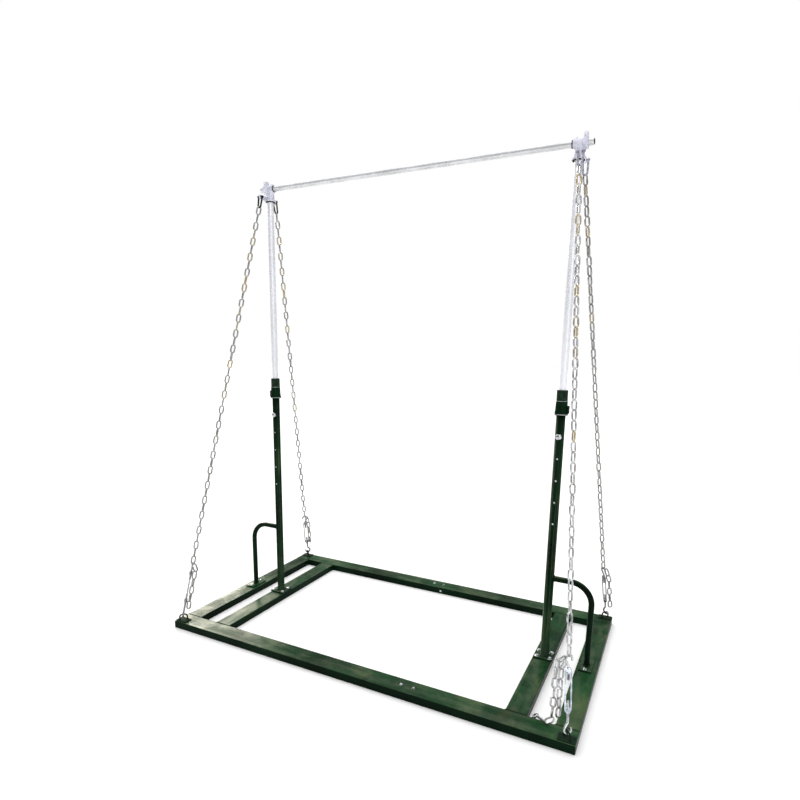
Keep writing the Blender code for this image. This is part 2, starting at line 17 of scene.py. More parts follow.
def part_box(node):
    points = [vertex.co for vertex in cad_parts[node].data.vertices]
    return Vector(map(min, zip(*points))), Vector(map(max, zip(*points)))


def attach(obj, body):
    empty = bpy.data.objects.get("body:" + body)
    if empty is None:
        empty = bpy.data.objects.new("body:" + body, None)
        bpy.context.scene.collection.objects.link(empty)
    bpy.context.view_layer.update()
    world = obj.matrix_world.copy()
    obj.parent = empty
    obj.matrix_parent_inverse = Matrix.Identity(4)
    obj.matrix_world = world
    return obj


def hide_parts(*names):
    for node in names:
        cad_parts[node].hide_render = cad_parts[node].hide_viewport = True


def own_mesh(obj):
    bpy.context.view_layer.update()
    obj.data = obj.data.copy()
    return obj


bl_info = {
    "name": "Horizontal Bar Stand",
    "version": (1, 0, 0),
    "blender": (4, 5, 0),
    "location": "View3D > Sidebar > Bar Stand",
    "description": "Dresses the frame of a horizontal bar with chains, castings and finishes",
    "category": "Add Mesh",
}

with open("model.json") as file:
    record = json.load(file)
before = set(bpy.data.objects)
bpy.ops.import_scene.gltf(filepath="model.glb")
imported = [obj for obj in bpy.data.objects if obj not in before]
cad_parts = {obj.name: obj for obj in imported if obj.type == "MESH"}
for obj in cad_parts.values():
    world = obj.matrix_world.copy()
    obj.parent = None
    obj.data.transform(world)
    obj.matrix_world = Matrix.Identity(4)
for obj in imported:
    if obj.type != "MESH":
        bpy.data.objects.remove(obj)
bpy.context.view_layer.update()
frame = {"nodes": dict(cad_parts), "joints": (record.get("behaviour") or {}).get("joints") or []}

SIDES = {"left": -1, "right": 1}
CORNERS = {
    "front_left": (-1, -1),
    "front_right": (1, -1),
    "rear_left": (-1, 1),
    "rear_right": (1, 1),
}
JOINTS = {joint["name"]: joint for joint in frame["joints"]}


def box_of(node):
    low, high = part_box(node)
    return Vector(low), Vector(high)


def middle_of(node):
    low, high = box_of(node)
    return (low + high) / 2


BEAM_TOP = box_of("beam_front_left")[1].z
BASE_HALF_WIDTH = box_of("beam_rear_left")[1].y
BASE_HALF_LENGTH = box_of("beam_front_right")[1].x
BEAM_WIDTH = BASE_HALF_WIDTH - box_of("beam_rear_left")[0].y
POST_X = middle_of("upper_tube_right").x
BAR_Z = middle_of("high_bar").z
BAR_RADIUS = BAR_Z - box_of("high_bar")[0].z
TUBE_RADIUS = (box_of("upper_tube_right")[1] - box_of("upper_tube_right")[0]).x / 2
PIN_Z = middle_of("lock_pin_right").z
POST_RADIUS = 0.021
UPPER_HOOK_AT = 0.273
SHACKLE_LENGTH = 0.060
FOOT_PLATE = 0.006
HEAD_EAR_X = 0.852
BAR_BOLT_X = 0.814
LUG_BOLT_Z = 2.3605
GUY_SEED = 31
SPARE_SEED = 57


# Sizes and colours


class FrameSettings(bpy.types.PropertyGroup):
    paint: FloatVectorProperty(
        name="Paint",
        description="Gloss paint on the base, posts, braces and collars",
        subtype="COLOR",
        default=(0.0023, 0.0105, 0.0043),
    )
    faded: FloatVectorProperty(
        name="Faded paint",
        description="Paint on faces turned upwards, lightened by sun and wear",
        subtype="COLOR",
        default=(0.0085, 0.0420, 0.0135),
    )
    dust: FloatVectorProperty(
        name="Dust",
        description="Film of dust that lies on faces turned upwards",
        subtype="COLOR",
        default=(0.085, 0.120, 0.052),
    )
    weld_radius: FloatProperty(
        name="Weld radius",
        description="Half the width of a fillet weld",
        unit="LENGTH",
        default=0.0034,
    )
    weld_pitch: FloatProperty(
        name="Weld pitch",
        description="Distance from one ripple of a weld to the next",
        unit="LENGTH",
        default=0.0036,
    )
    seed: IntProperty(name="Seed", description="Seed for small irregularities", default=7)


class MetalSettings(bpy.types.PropertyGroup):
    zinc: FloatVectorProperty(
        name="Zinc",
        description="Plating of chains, hooks, turnbuckles, bolts and pins",
        subtype="COLOR",
        default=(0.53, 0.54, 0.57),
    )
    passivated: FloatVectorProperty(
        name="Yellow zinc",
        description="Tint of the links whose plating has yellowed",
        subtype="COLOR",
        default=(0.50, 0.40, 0.21),
    )
    galvanised: FloatVectorProperty(
        name="Galvanised",
        description="Upper tubes and cast heads",
        subtype="COLOR",
        default=(0.78, 0.79, 0.84),
    )
    steel: FloatVectorProperty(
        name="Bar steel",
        description="The bar itself",
        subtype="COLOR",
        default=(0.60, 0.61, 0.63),
    )
    # Also painted shade: this colour darkens the ring under each head and the front left shackle,
    # where they stand for shadow.
    iron: FloatVectorProperty(
        name="Dark iron",
        description="Shackles and corner rings",
        subtype="COLOR",
        default=(0.0052, 0.0130, 0.0075),
    )
    rubber: FloatVectorProperty(
        name="Rubber",
        description="Collar caps",
        subtype="COLOR",
        default=(0.0070, 0.0185, 0.0090),
    )


class ChainSettings(bpy.types.PropertyGroup):
    wire: FloatProperty(
        name="Wire radius",
        description="Radius of a link's wire",
        unit="LENGTH",
        default=0.0040,
    )
    width: FloatProperty(
        name="Link width",
        description="Outer width of a link",
        unit="LENGTH",
        default=0.0270,
    )
    links: IntProperty(
        name="Links",
        description="Number of links in each guy, from the hook to the shackle",
        default=47,
    )
    looseness: FloatProperty(
        name="Looseness",
        description="How far a link turns from square to its neighbours",
        subtype="ANGLE",
        default=math.radians(14),
    )


class HardwareSettings(bpy.types.PropertyGroup):
    thread_pitch: FloatProperty(
        name="Thread pitch",
        description="Pitch of the turnbuckles' threads",
        unit="LENGTH",
        default=0.00175,
    )
    head_radius: FloatProperty(
        name="Bolt head",
        description="Radius across the corners of a large hexagon head",
        unit="LENGTH",
        default=0.0098,
    )
    cast_grain: FloatProperty(
        name="Casting grain",
        description="Cell size that rounds the cast and forged pieces",
        unit="LENGTH",
        default=0.0011,
    )


class StageSettings(bpy.types.PropertyGroup):
    floor: FloatVectorProperty(
        name="Floor", description="Floor colour", subtype="COLOR", default=(0.93, 0.93, 0.93)
    )
    eye: FloatVectorProperty(
        name="Eye",
        description="Where the camera stands",
        subtype="TRANSLATION",
        default=(1.317, -2.631, 1.522),
    )
    heading: FloatProperty(
        name="Heading", description="Turn from +Y", subtype="ANGLE", default=math.radians(-26.82)
    )
    tilt: FloatProperty(
        name="Tilt",
        description="Turn above the level",
        subtype="ANGLE",
        default=math.radians(-10.99),
    )
    roll: FloatProperty(
        name="Roll", description="Turn about the view", subtype="ANGLE", default=math.radians(0.78)
    )
    lens: FloatProperty(name="Lens", description="Focal length in millimetres", default=25.12)


def settings():
    return bpy.context.scene.bar_stand


class StandSettings(bpy.types.PropertyGroup):
    base: PointerProperty(type=FrameSettings, name="Frame", description="Painted frame")
    metal: PointerProperty(type=MetalSettings, name="Metal", description="Metal finishes")
    chain: PointerProperty(type=ChainSettings, name="Chain", description="Guy chains")
    hardware: PointerProperty(type=HardwareSettings, name="Hardware", description="Fittings")
    stage: PointerProperty(type=StageSettings, name="Stage", description="Floor and camera")


# Finishes


class Wire:
    """A node's output that takes part in sums."""

    def __init__(self, nodes, socket):
        self.nodes = nodes
        self.socket = socket

    def sum(self, operation, first, second, clamp=False):
        settings = {"operation": operation, "use_clamp": clamp}
        return self.nodes.add("ShaderNodeMath", settings, {0: first, 1: second})

    def __add__(self, other):
        return self.sum("ADD", self, other)

    def __radd__(self, other):
        return self.sum("ADD", other, self)

    def __sub__(self, other):
        return self.sum("SUBTRACT", self, other)

    def __rsub__(self, other):
        return self.sum("SUBTRACT", other, self)

    def __mul__(self, other):
        return self.sum("MULTIPLY", self, other)

    def __rmul__(self, other):
        return self.sum("MULTIPLY", other, self)

    def clamped(self):
        return self.sum("ADD", self, 0.0, clamp=True)

    def above(self, low, high):
        """0 below low, 1 above high, and smooth between them."""
        values = {"Value": self, "From Min": low, "From Max": high}
        return self.nodes.add("ShaderNodeMapRange", {"interpolation_type": "SMOOTHSTEP"}, values)


class Nodes:
    """A node tree whose nodes all come from one method."""

    def __init__(self, tree):
        self.tree = tree

    def add(self, kind, settings=None, values=None, output=0):
        node = self.tree.nodes.new(kind)
        for key, value in (settings or {}).items():
            setattr(node, key, value)
        for key, value in (values or {}).items():
            self.feed(node.inputs[key], value)
        return Wire(self, node.outputs[output])

    def feed(self, socket, value):
        if isinstance(value, Wire):
            self.tree.links.new(value.socket, socket)
        else:
            socket.default_value = value


class Finish(Nodes):
    """A Principled material whose patterns come from nodes on object coordinates."""

    def __init__(self, name, **values):
        self.material = bpy.data.materials.new(name)
        self.material.use_nodes = True
        super().__init__(self.material.node_tree)
        self.shader = self.tree.nodes["Principled BSDF"]
        self.place = self.add("ShaderNodeTexCoord", output="Object")
        self.apply(**values)

    def noise(self, scale, detail=3.0, roughness=0.55, stretch=(1, 1, 1), distortion=0.0):
        place = self.place
        if stretch != (1, 1, 1):
            place = self.add("ShaderNodeMapping", None, {"Vector": place, "Scale": stretch})
        values = {
            "Vector": place,
            "Scale": scale,
            "Detail": detail,
            "Roughness": roughness,
            "Distortion": distortion,
        }
        return self.add("ShaderNodeTexNoise", None, values)

    def cells(self, scale, output="Distance"):
        values = {"Vector": self.place, "Scale": scale}
        return self.add("ShaderNodeTexVoronoi", None, values, output)

    def blend(self, share, first, second):
        """Colour between first and second."""
        colours = [c if isinstance(c, Wire) else (*c[:3], 1.0) for c in (first, second)]
        values = {0: share, 6: colours[0], 7: colours[1]}
        return self.add("ShaderNodeMix", {"data_type": "RGBA"}, values, 2)

    def cover(self, colour, mask, share, tint):
        """Lay a tint over a colour where the mask is 1, as thick as the share."""
        return self.blend((mask * share).clamped(), colour, tint)

    def facing_up(self):
        normal = self.add("ShaderNodeNewGeometry", output="Normal")
        return self.add("ShaderNodeSeparateXYZ", None, {0: normal}, "Z")

    def edge_wear(self, radius):
        """1 along worn edges, where a rounded normal leaves the flat one."""
        soft = self.add("ShaderNodeBevel", {"samples": 6}, {"Radius": radius})
        flat = self.add("ShaderNodeNewGeometry", output="True Normal")
        product = {"operation": "DOT_PRODUCT"}
        return 1.0 - self.add("ShaderNodeVectorMath", product, {0: soft, 1: flat}, "Value")

    def apply(self, **outputs):
        for key, value in outputs.items():
            self.feed(self.shader.inputs[key.replace("_", " ")], value)
        return self.material

    def surface(self, colour, rough, relief, distance, strength, **more):
        """Feed the shader its colour, its roughness and its relief as a bump."""
        values = {"Height": relief, "Distance": distance, "Strength": strength}
        normal = self.add("ShaderNodeBump", None, values)
        return self.apply(Base_Color=colour, Roughness=rough.clamped(), Normal=normal, **more)


def shade_of(colour, share):
    """A darker or lighter shade of a colour."""
    return tuple(min(1.0, c * share) for c in colour)


def green_paint(name="green_paint", edges=False, grain_way=(1.0, 1.0, 0.3), lift=1.0):
    """Gloss paint, faded, dusty and stained on its tops."""
    base = settings().base
    paint = shade_of(base.paint, lift)
    finish = Finish(name, Specular_IOR_Level=0.025, Coat_Roughness=0.25, Coat_IOR=1.34)
    cloud = finish.noise(2.6, 4.0, 0.6)
    streak = finish.noise(16.0, 6.0, 0.65, grain_way)
    patch = finish.noise(5.5, 5.0, 0.7, distortion=0.6)
    grain = finish.noise(210.0, 3.0, 0.6)
    shade = cloud.above(0.35, 0.68)
    up = finish.facing_up().above(0.55, 0.95)
    sides = finish.blend(shade, shade_of(paint, 0.6), shade_of(paint, 1.6))
    tops = finish.blend(shade, shade_of(base.faded, 0.5), shade_of(base.faded, 1.35))
    colour = finish.blend(up, sides, tops)
    film = up * streak.above(0.42, 0.72) * (0.08 + 0.42 * cloud.above(0.4, 0.7))
    colour = finish.blend(film.clamped(), colour, base.dust)
    moss = patch.above(0.48, 0.64) * streak.above(0.32, 0.60)
    colour = finish.cover(colour, moss * up, 0.40, (0.070, 0.098, 0.022))
    rust = finish.noise(7.0, 6.0, 0.7).above(0.56, 0.70)
    colour = finish.cover(colour, rust * up, 0.50, (0.050, 0.038, 0.016))
    specks = finish.cells(150.0).above(0.16, 0.05) * finish.noise(9.0).above(0.55, 0.66)
    colour = finish.cover(colour, specks * up, 0.35, (0.20, 0.22, 0.16))
    chips = finish.noise(52.0, 6.0, 0.7).above(0.70, 0.72)
    colour = finish.cover(colour, chips, 0.7, (0.020, 0.018, 0.012))
    if edges:
        wear = finish.edge_wear(0.0020).above(0.04, 0.20)
        wear = wear * finish.noise(26.0, 5.0).above(0.55, 0.64)
        colour = finish.cover(colour, wear, 0.55, (0.13, 0.14, 0.10))
    rough = 0.13 + 0.20 * streak + 0.25 * film + 0.08 * grain
    relief = finish.noise(420.0, 2.0) * 0.35 + cloud - chips * 0.7 + streak * 0.25
    gloss = 0.05 + 0.40 * streak.above(0.40, 0.64) + 0.40 * patch.above(0.42, 0.62)
    gloss = (0.02 + up * gloss).clamped()
    return finish.surface(colour, rough, relief, 0.0005, 0.5, Coat_Weight=gloss)


def zinc_plate(name="zinc_plate", tinted=0.0, cast=(1.0, 1.0, 1.0)):
    """Clouded plating; tinted is how far the links' own tones turn it yellow."""
    metal = settings().metal
    zinc = [c * share for c, share in zip(metal.zinc, cast)]
    finish = Finish(name, Metallic=1.0)
    cloud = finish.noise(38.0, 4.0, 0.6)
    fine = finish.noise(900.0, 3.0, 0.6)
    colour = finish.blend(cloud.above(0.32, 0.68), shade_of(zinc, 0.55), shade_of(zinc, 1.25))
    if tinted:
        tone = finish.add("ShaderNodeAttribute", {"attribute_name": "link_tone"}, output="Fac")
        colour = finish.cover(colour, tone, tinted, metal.passivated)
    spots = finish.noise(130.0, 5.0, 0.7).above(0.60, 0.72)
    colour = finish.cover(colour, spots, 0.5, (0.20, 0.17, 0.13))
    rough = 0.13 + 0.20 * cloud + 0.12 * spots
    return finish.surface(colour, rough, fine + spots * 0.6, 0.0002, 0.35)


def galvanised_tube():
    """Pale spangled zinc with long stains."""
    pale = settings().metal.galvanised
    finish = Finish("galvanised_tube", Metallic=0.42)
    spangle = finish.cells(260.0, "Color")
    flake = finish.add("ShaderNodeSeparateColor", None, {0: spangle}, "Red")
    cloud = finish.noise(7.0, 5.0, 0.6, (1.0, 1.0, 0.35))
    share = (0.55 * cloud.above(0.3, 0.7) + 0.45 * flake).clamped()
    colour = finish.blend(share, shade_of(pale, 0.88), shade_of(pale, 1.15))
    stain = finish.noise(55.0, 6.0, 0.65, (1.0, 1.0, 0.25)).above(0.62, 0.75)
    colour = finish.cover(colour, stain, 0.25, (0.50, 0.50, 0.52))
    rough = 0.34 + 0.16 * flake + 0.12 * stain
    return finish.surface(colour, rough, finish.noise(300.0, 4.0) + 0.4 * flake, 0.0002, 0.4)


def bar_steel():
    """Steel brushed along the bar, with chalk left on it."""
    pale = settings().metal.steel
    finish = Finish("bar_steel", Metallic=0.60)
    brushed = finish.noise(420.0, 4.0, 0.6, (0.06, 1.0, 1.0))
    cloud = finish.noise(5.0, 4.0, 0.6)
    share = (0.5 * brushed + 0.5 * cloud).above(0.35, 0.65)
    colour = finish.blend(share, shade_of(pale, 0.78), shade_of(pale, 1.2))
    chalk = finish.noise(28.0, 6.0, 0.7, (0.4, 1.0, 1.0)).above(0.58, 0.75)
    colour = finish.cover(colour, chalk, 0.25, (0.74, 0.74, 0.73))
    rough = 0.26 + 0.14 * brushed + 0.22 * chalk
    return finish.surface(colour, rough, brushed, 0.0001, 0.35)


def iron(name, cloud_at, worn_at, share, colours, rough, **values):
    """Clouded iron, dark to light, with its high spots worn to a third colour.

    Each pattern is given by its scale and by the two levels that it runs between.
    """
    finish = Finish(name, **values)
    dark, light, bare = colours
    cloud = finish.noise(cloud_at[0], 5.0, 0.65)
    worn = finish.noise(worn_at[0], 5.0, 0.7).above(*worn_at[1:])
    colour = finish.blend(cloud.above(*cloud_at[1:]), dark, light)
    colour = finish.cover(colour, worn, share, bare)
    rough = rough[0] + rough[1] * cloud
    return finish.surface(colour, rough, cloud + worn * 0.4, 0.0003, 0.5)


# Dark iron of the corner rings and plates, and painted shade on the ring under each head and on the
# front left shackle.
def dark_iron():
    dark = settings().metal.iron
    colours = (dark, shade_of(dark, 2.2), (0.11, 0.11, 0.09))
    pattern = ((60.0, 0.35, 0.7), (170.0, 0.56, 0.70), 0.28, colours, (0.50, 0.25))
    return iron("dark_iron", *pattern, Specular_IOR_Level=0.05)


def worn_iron():
    colours = ((0.20, 0.20, 0.26), (0.40, 0.40, 0.48), (0.52, 0.52, 0.58))
    pattern = ((55.0, 0.38, 0.62), (150.0, 0.52, 0.66), 0.6, colours, (0.28, 0.26))
    return iron("worn_iron", *pattern, Metallic=0.45)


def brown_iron():
    colours = ((0.020, 0.018, 0.009), (0.085, 0.075, 0.038), (0.24, 0.22, 0.15))
    pattern = ((70.0, 0.38, 0.62), (160.0, 0.55, 0.68), 0.4, colours, (0.40, 0.26))
    return iron("brown_iron", *pattern, Metallic=0.2, Specular_IOR_Level=0.2)


def cast_head():
    """Grey casting with a faint blue cast, darker in its pits."""
    finish = Finish("cast_head", Metallic=0.15)
    cloud = finish.noise(32.0, 5.0, 0.6)
    pits = finish.noise(240.0, 4.0, 0.65).above(0.56, 0.70)
    colour = finish.blend(cloud.above(0.34, 0.66), (0.50, 0.50, 0.60), (0.70, 0.71, 0.82))
    colour = finish.cover(colour, pits, 0.35, (0.36, 0.36, 0.42))
    rough = 0.34 + 0.22 * cloud + 0.10 * pits
    return finish.surface(colour, rough, cloud * 0.6 - pits * 0.5, 0.0004, 0.5)


def black_rubber():
    rubber = settings().metal.rubber
    finish = Finish("black_rubber", Specular_IOR_Level=0.08)
    cloud = finish.noise(45.0, 5.0, 0.6)
    grey = tuple(c * 2.0 + 0.003 for c in rubber)
    colour = finish.blend(cloud.above(0.4, 0.75), rubber, grey)
    return finish.surface(colour, 0.46 + 0.24 * cloud, finish.noise(1400.0, 2.0), 0.0002, 0.5)


LOOKS = {
    "green_paint": green_paint,
    "green_beams": lambda: green_paint("green_beams", True, (0.14, 1.0, 1.0)),
    "green_crossbeams": lambda: green_paint("green_crossbeams", True, (1.0, 0.14, 1.0)),
    "green_collar": lambda: green_paint("green_collar", lift=1.9),
    "zinc_plate": zinc_plate,
    "zinc_forged": lambda: zinc_plate("zinc_forged", cast=(1.22, 1.30, 1.42)),
    "zinc_links": lambda: zinc_plate("zinc_links", 1.0),
    "dull_links": lambda: zinc_plate("dull_links", 1.0, (0.58, 0.58, 0.57)),
    "dull_zinc": lambda: zinc_plate("dull_zinc", cast=(0.60, 0.60, 0.61)),
    "galvanised_tube": galvanised_tube,
    "bar_steel": bar_steel,
    "black_rubber": black_rubber,
    "dark_iron": dark_iron,
    "worn_iron": worn_iron,
    "brown_iron": brown_iron,
    "cast_head": cast_head,
}
FINISHES = {}


def finish_of(look):
    if look not in FINISHES:
        FINISHES[look] = LOOKS[look]()
    return FINISHES[look]


def guy_finish(corner, bright, dull):
    """The front right guy takes the bright finish, the others the dull one."""
    return bright if corner == "front_right" else dull


# Building blocks

UP = (0, 0, 1)
BACK = (0, 1, 0)
RIGHT = (1, 0, 0)
# How near two corners are joined: as a rule, in small welds and bolts, and high up.
JOIN = 0.00001
JOIN_FINE = 0.0000001
JOIN_HIGH = 0.000002


def close_piece(name, bm, slot, body, stands_for=(), sharp=40, look=None, join=None):
    """Turn a bmesh into a finished piece that rides on a body."""
    if join:
        tidy(bm, join)
    return close_mesh(name, as_mesh(name, bm), slot, body, stands_for, sharp, look)


def as_mesh(name, bm):
    mesh = bpy.data.meshes.new(name)
    bm.to_mesh(mesh)
    bm.free()
    return mesh


def close_mesh(name, mesh, slot, body, stands_for=(), sharp=40, look=None):
    mesh.shade_smooth()
    mesh.set_sharp_from_angle(angle=math.radians(sharp))
    obj = bpy.data.objects.new(name, mesh)
    mesh.materials.clear()
    mesh.materials.append(finish_of(look or slot))
    bpy.context.scene.collection.objects.link(obj)
    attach(obj, body)
    if stands_for:
        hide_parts(*stands_for)
    return obj


def tidy(bm, join=JOIN):
    bmesh.ops.remove_doubles(bm, verts=bm.verts, dist=join)
    bmesh.ops.recalc_face_normals(bm, faces=bm.faces)


def merged_copy(node):
    """The welded mesh of a plain solid, ready to be worked on."""
    bm = bmesh.new()
    bm.from_mesh(frame["nodes"][node].data)
    tidy(bm)
    return bm


def along(direction, roll=0.0):
    """Turn that takes +Z to a direction."""
    turn = Vector(direction).to_track_quat("Z", "Y").to_matrix().to_4x4()
    return turn @ Matrix.Rotation(roll, 4, "Z")


def axes(across, up):
    """Turn that takes +X to across and +Z to up."""
    return Matrix((across, up.cross(across), up)).transposed().to_4x4()


def at(x, y, z):
    return Matrix.Translation((x, y, z))


def only(kind, items):
    return [item for item in items if isinstance(item, kind)]


def spin(bm, geom, angle, steps, centre=(0, 0, 0), axis=UP, climb=0.0, merge=False):
    """Spin edges round an axis and return the last ones."""
    made = bmesh.ops.spin(
        bm,
        geom=geom,
        cent=centre,
        axis=axis,
        dvec=(0, 0, climb),
        angle=angle,
        steps=steps,
        use_merge=merge,
        use_normal_flip=False,
        use_duplicate=False,
    )["geom_last"]
    return only(bmesh.types.BMEdge, made)


def round_edges(bm, verts, offset, segments):
    """Bevel every edge that meets one of these corners."""
    edges = {edge for vert in verts for edge in vert.link_edges}
    return bmesh.ops.bevel(
        bm,
        geom=list(edges),
        offset=offset,
        segments=segments,
        profile=0.5,
        affect="EDGES",
        material=-1,
    )["verts"]


def add_outline(bm, profile, closed=False):
    """Corners and edges of an outline of (radius, height) pairs."""
    verts = [bm.verts.new((radius, 0.0, height)) for radius, height in profile]
    ends = verts[1:] + verts[:1] if closed else verts[1:]
    return verts, [bm.edges.new(pair) for pair in zip(verts, ends)]


def add_turned(bm, profile, matrix, steps=32):
    """Spin an open profile of (radius, height) round Z, then put it in place."""
    verts, edges = add_outline(bm, profile)
    spin(bm, verts + edges, math.tau, steps, merge=True)
    reached = set(verts)
    front = list(reached)
    while front:
        vert = front.pop()
        for edge in vert.link_edges:
            other = edge.other_vert(vert)
            if other not in reached:
                reached.add(other)
                front.append(other)
    bmesh.ops.transform(bm, matrix=matrix, verts=list(reached))


def turned_piece(name, profile, matrix, steps, slot, body, stands_for=(), sharp=40):
    """A piece that is one turned profile."""
    bm = bmesh.new()
    add_turned(bm, profile, matrix, steps)
    close_piece(name, bm, slot, body, stands_for, sharp, join=JOIN)


def add_block(bm, low, high, bevel=0.0015, segments=2):
    """A box with rounded edges."""
    centre = (Vector(low) + Vector(high)) / 2
    size = Vector(high) - Vector(low)
    matrix = Matrix.Translation(centre) @ Matrix.Diagonal((*size, 1.0))
    verts = bmesh.ops.create_cube(bm, size=1.0, matrix=matrix)["verts"]
    round_edges(bm, verts, bevel, segments)


def add_hexagon(bm, matrix, radius, height):
    """A hexagon head or nut with its top corners chamfered."""
    ring = bmesh.ops.create_circle(bm, cap_ends=True, segments=6, radius=radius)["verts"]
    base = list({face for vert in ring for face in vert.link_faces})
    raised = bmesh.ops.extrude_face_region(bm, geom=base)["geom"]
    top = only(bmesh.types.BMVert, raised)
    bmesh.ops.translate(bm, verts=top, vec=(0, 0, height * 0.84))
    lid = only(bmesh.types.BMFace, raised)
    bmesh.ops.inset_region(bm, faces=lid, thickness=radius * 0.13, depth=height * 0.16)
    verts = {v for vert in ring + top for face in vert.link_faces for v in face.verts}
    verts |= {v for face in lid for v in face.verts}
    made = round_edges(bm, verts, radius * 0.045, 1)
    shell = set(made) | {v for v in verts if v.is_valid}
    bmesh.ops.transform(bm, matrix=matrix, verts=list(shell))


def add_bolt(bm, foot, direction, radius, height, turn, washer=1.0, stud=0.0):
    """A hexagon bolt on its washer, standing on foot and pointing along direction.

    The washer is given by its thickness against the usual one, and the stud by how far
    the bolt's end stands out of its nut.
    """
    seat = Matrix.Translation(Vector(foot)) @ along(direction, turn)
    thick = 0.0015 * washer
    wide = radius * 1.16
    disc = [(0.0, 0.0), (wide, 0.0), (wide, thick * 0.7), (wide - thick * 0.4, thick), (0.0, thick)]
    add_turned(bm, disc, seat, 24)
    add_hexagon(bm, seat @ at(0, 0, thick * 0.95), radius, height)
    if stud:
        tip = radius * 0.52
        end = height + stud
        post = [(0.0, height * 0.5), (tip, height * 0.5)]
        post += [(tip, end - 0.001), (tip - 0.001, end), (0.0, end)]
        add_turned(bm, post, seat, 16)


class Drawn:
    """Round wire drawn out in runs and bends, from a first ring to a closed end."""

    def __init__(self, bm, start, heading, side, radius, segments=12):
        self.bm = bm
        self.place = Vector(start)
        self.heading = Vector(heading).normalized()
        self.side = Vector(side).normalized()
        self.radius = radius
        matrix = Matrix.Translation(self.place) @ along(self.heading)
        made = bmesh.ops.create_circle(
            bm, cap_ends=False, segments=segments, radius=radius, matrix=matrix
        )
        self.ring = list({edge for vert in made["verts"] for edge in vert.link_edges})
        self.mouth = list(self.ring)
        self.first = (self.place.copy(), self.heading.copy(), radius)

    def turn_back(self):
        """Go on from the first ring, the other way."""
        self.ring = self.mouth
        self.place, heading, self.radius = self.first
        self.heading = -heading
        return self

    def run(self, length):
        made = bmesh.ops.extrude_edge_only(self.bm, edges=self.ring)["geom"]
        new = set(only(bmesh.types.BMVert, made))
        bmesh.ops.translate(self.bm, verts=list(new), vec=self.heading * length)
        self.ring = [e for e in only(bmesh.types.BMEdge, made) if new.issuperset(e.verts)]
        self.place = self.place + self.heading * length
        return self

    def bend(self, angle, radius, steps):
        """Turn by an angle about the side axis, on a bend of that radius."""
        inward = self.side.cross(self.heading) * math.copysign(1.0, angle)
        centre = self.place + inward * radius
        self.ring = spin(self.bm, self.ring, angle, steps, centre, self.side)
        turn = Matrix.Rotation(angle, 3, self.side)
        self.place = centre + turn @ (self.place - centre)
        self.heading = turn @ self.heading
        return self

    def taper(self, length, share):
        self.run(length)
        verts = list({vert for edge in self.ring for vert in edge.verts})
        space = Matrix.Translation(-self.place)
        bmesh.ops.scale(self.bm, vec=(share, share, share), space=space, verts=verts)
        self.radius *= share
        return self

    def round_off(self):
        """End in a dome."""
        radius = self.radius
        self.taper(radius * 0.5, 0.86).taper(radius * 0.3, 0.70).taper(radius * 0.15, 0.45)
        return self.close()

    def close(self):
        bmesh.ops.edgeloop_fill(self.bm, edges=self.ring)
        return self

    def close_mouth(self):
        bmesh.ops.edgeloop_fill(self.bm, edges=self.mouth)
        return self


def add_weld(bm, points, chance, radius=None, closed=False):
    """A fillet weld: low ripples laid one on the next along a line of points."""
    base = settings().base
    radius = radius or base.weld_radius
    route = [Vector(point) for point in points]
    if closed:
        route.append(route[0])
    for start, end in zip(route, route[1:]):
        span = end - start
        count = max(1, round(span.length / base.weld_pitch))
        for i in range(count):
            spot = start + span * ((i + 0.5) / count)
            wobble = radius * (1 + chance.uniform(-0.14, 0.14))
            stretch = Matrix.Diagonal((wobble, wobble, wobble * 0.80, 1.0))
            matrix = Matrix.Translation(spot) @ along(span) @ stretch
            bmesh.ops.create_uvsphere(bm, u_segments=8, v_segments=4, radius=1.0, matrix=matrix)


def add_ring_weld(bm, centre, radius, count, chance, bead):
    """A weld round a tube or wire that stands on a plate."""
    angles = [math.tau * i / count for i in range(count)]
    points = [Vector((math.cos(a), math.sin(a), 0)) for a in angles]
    add_weld(bm, [Vector(centre) + radius * point for point in points], chance, bead, True)


def rounded(bm, name, cell, passes=5):
    """Remesh a plain solid in small cells and smooth it, as a casting or forging is."""
    rough = bpy.data.objects.new(name, as_mesh(name, bm))
    bpy.context.scene.collection.objects.link(rough)
    remesh = rough.modifiers.new("cells", "REMESH")
    remesh.mode = "VOXEL"
    remesh.voxel_size = cell
    smooth = rough.modifiers.new("smooth", "SMOOTH")
    smooth.factor = 0.5
    smooth.iterations = passes
    bpy.context.view_layer.update()
    seen = rough.evaluated_get(bpy.context.evaluated_depsgraph_get())
    result = bpy.data.meshes.new_from_object(seen)
    bpy.data.objects.remove(rough)
    return result


def joint_place(name):
    return Vector(JOINTS[name]["pos_m"])


def guy_matrix(corner):
    """Z up the guy from the hook's centre in the ring, X across the hooks."""
    joint = f"turnbuckle_turn_{corner}"
    sx, sy = CORNERS[corner]
    up = Vector(JOINTS[joint]["axis"]).normalized()
    across = Vector((sx, -sy, 0)).normalized()
    across = (across - up * across.dot(up)).normalized()
    return Matrix.Translation(joint_place(joint)) @ axes(across, up)


def shackle_matrix(corner):
    """Z up the shackle towards the lug, X along its pin, origin at the pin."""
    lug = joint_place(f"shackle_swing_{corner}")
    ring = joint_place(f"turnbuckle_turn_{corner}")
    up = Vector((0, lug.y - ring.y, lug.z - ring.z)).normalized()
    return Matrix.Translation(lug) @ axes(Vector(RIGHT), up)


class StandOperator:
    """What every builder of a piece shares."""

    bl_options = {"REGISTER", "UNDO"}


# Base frame


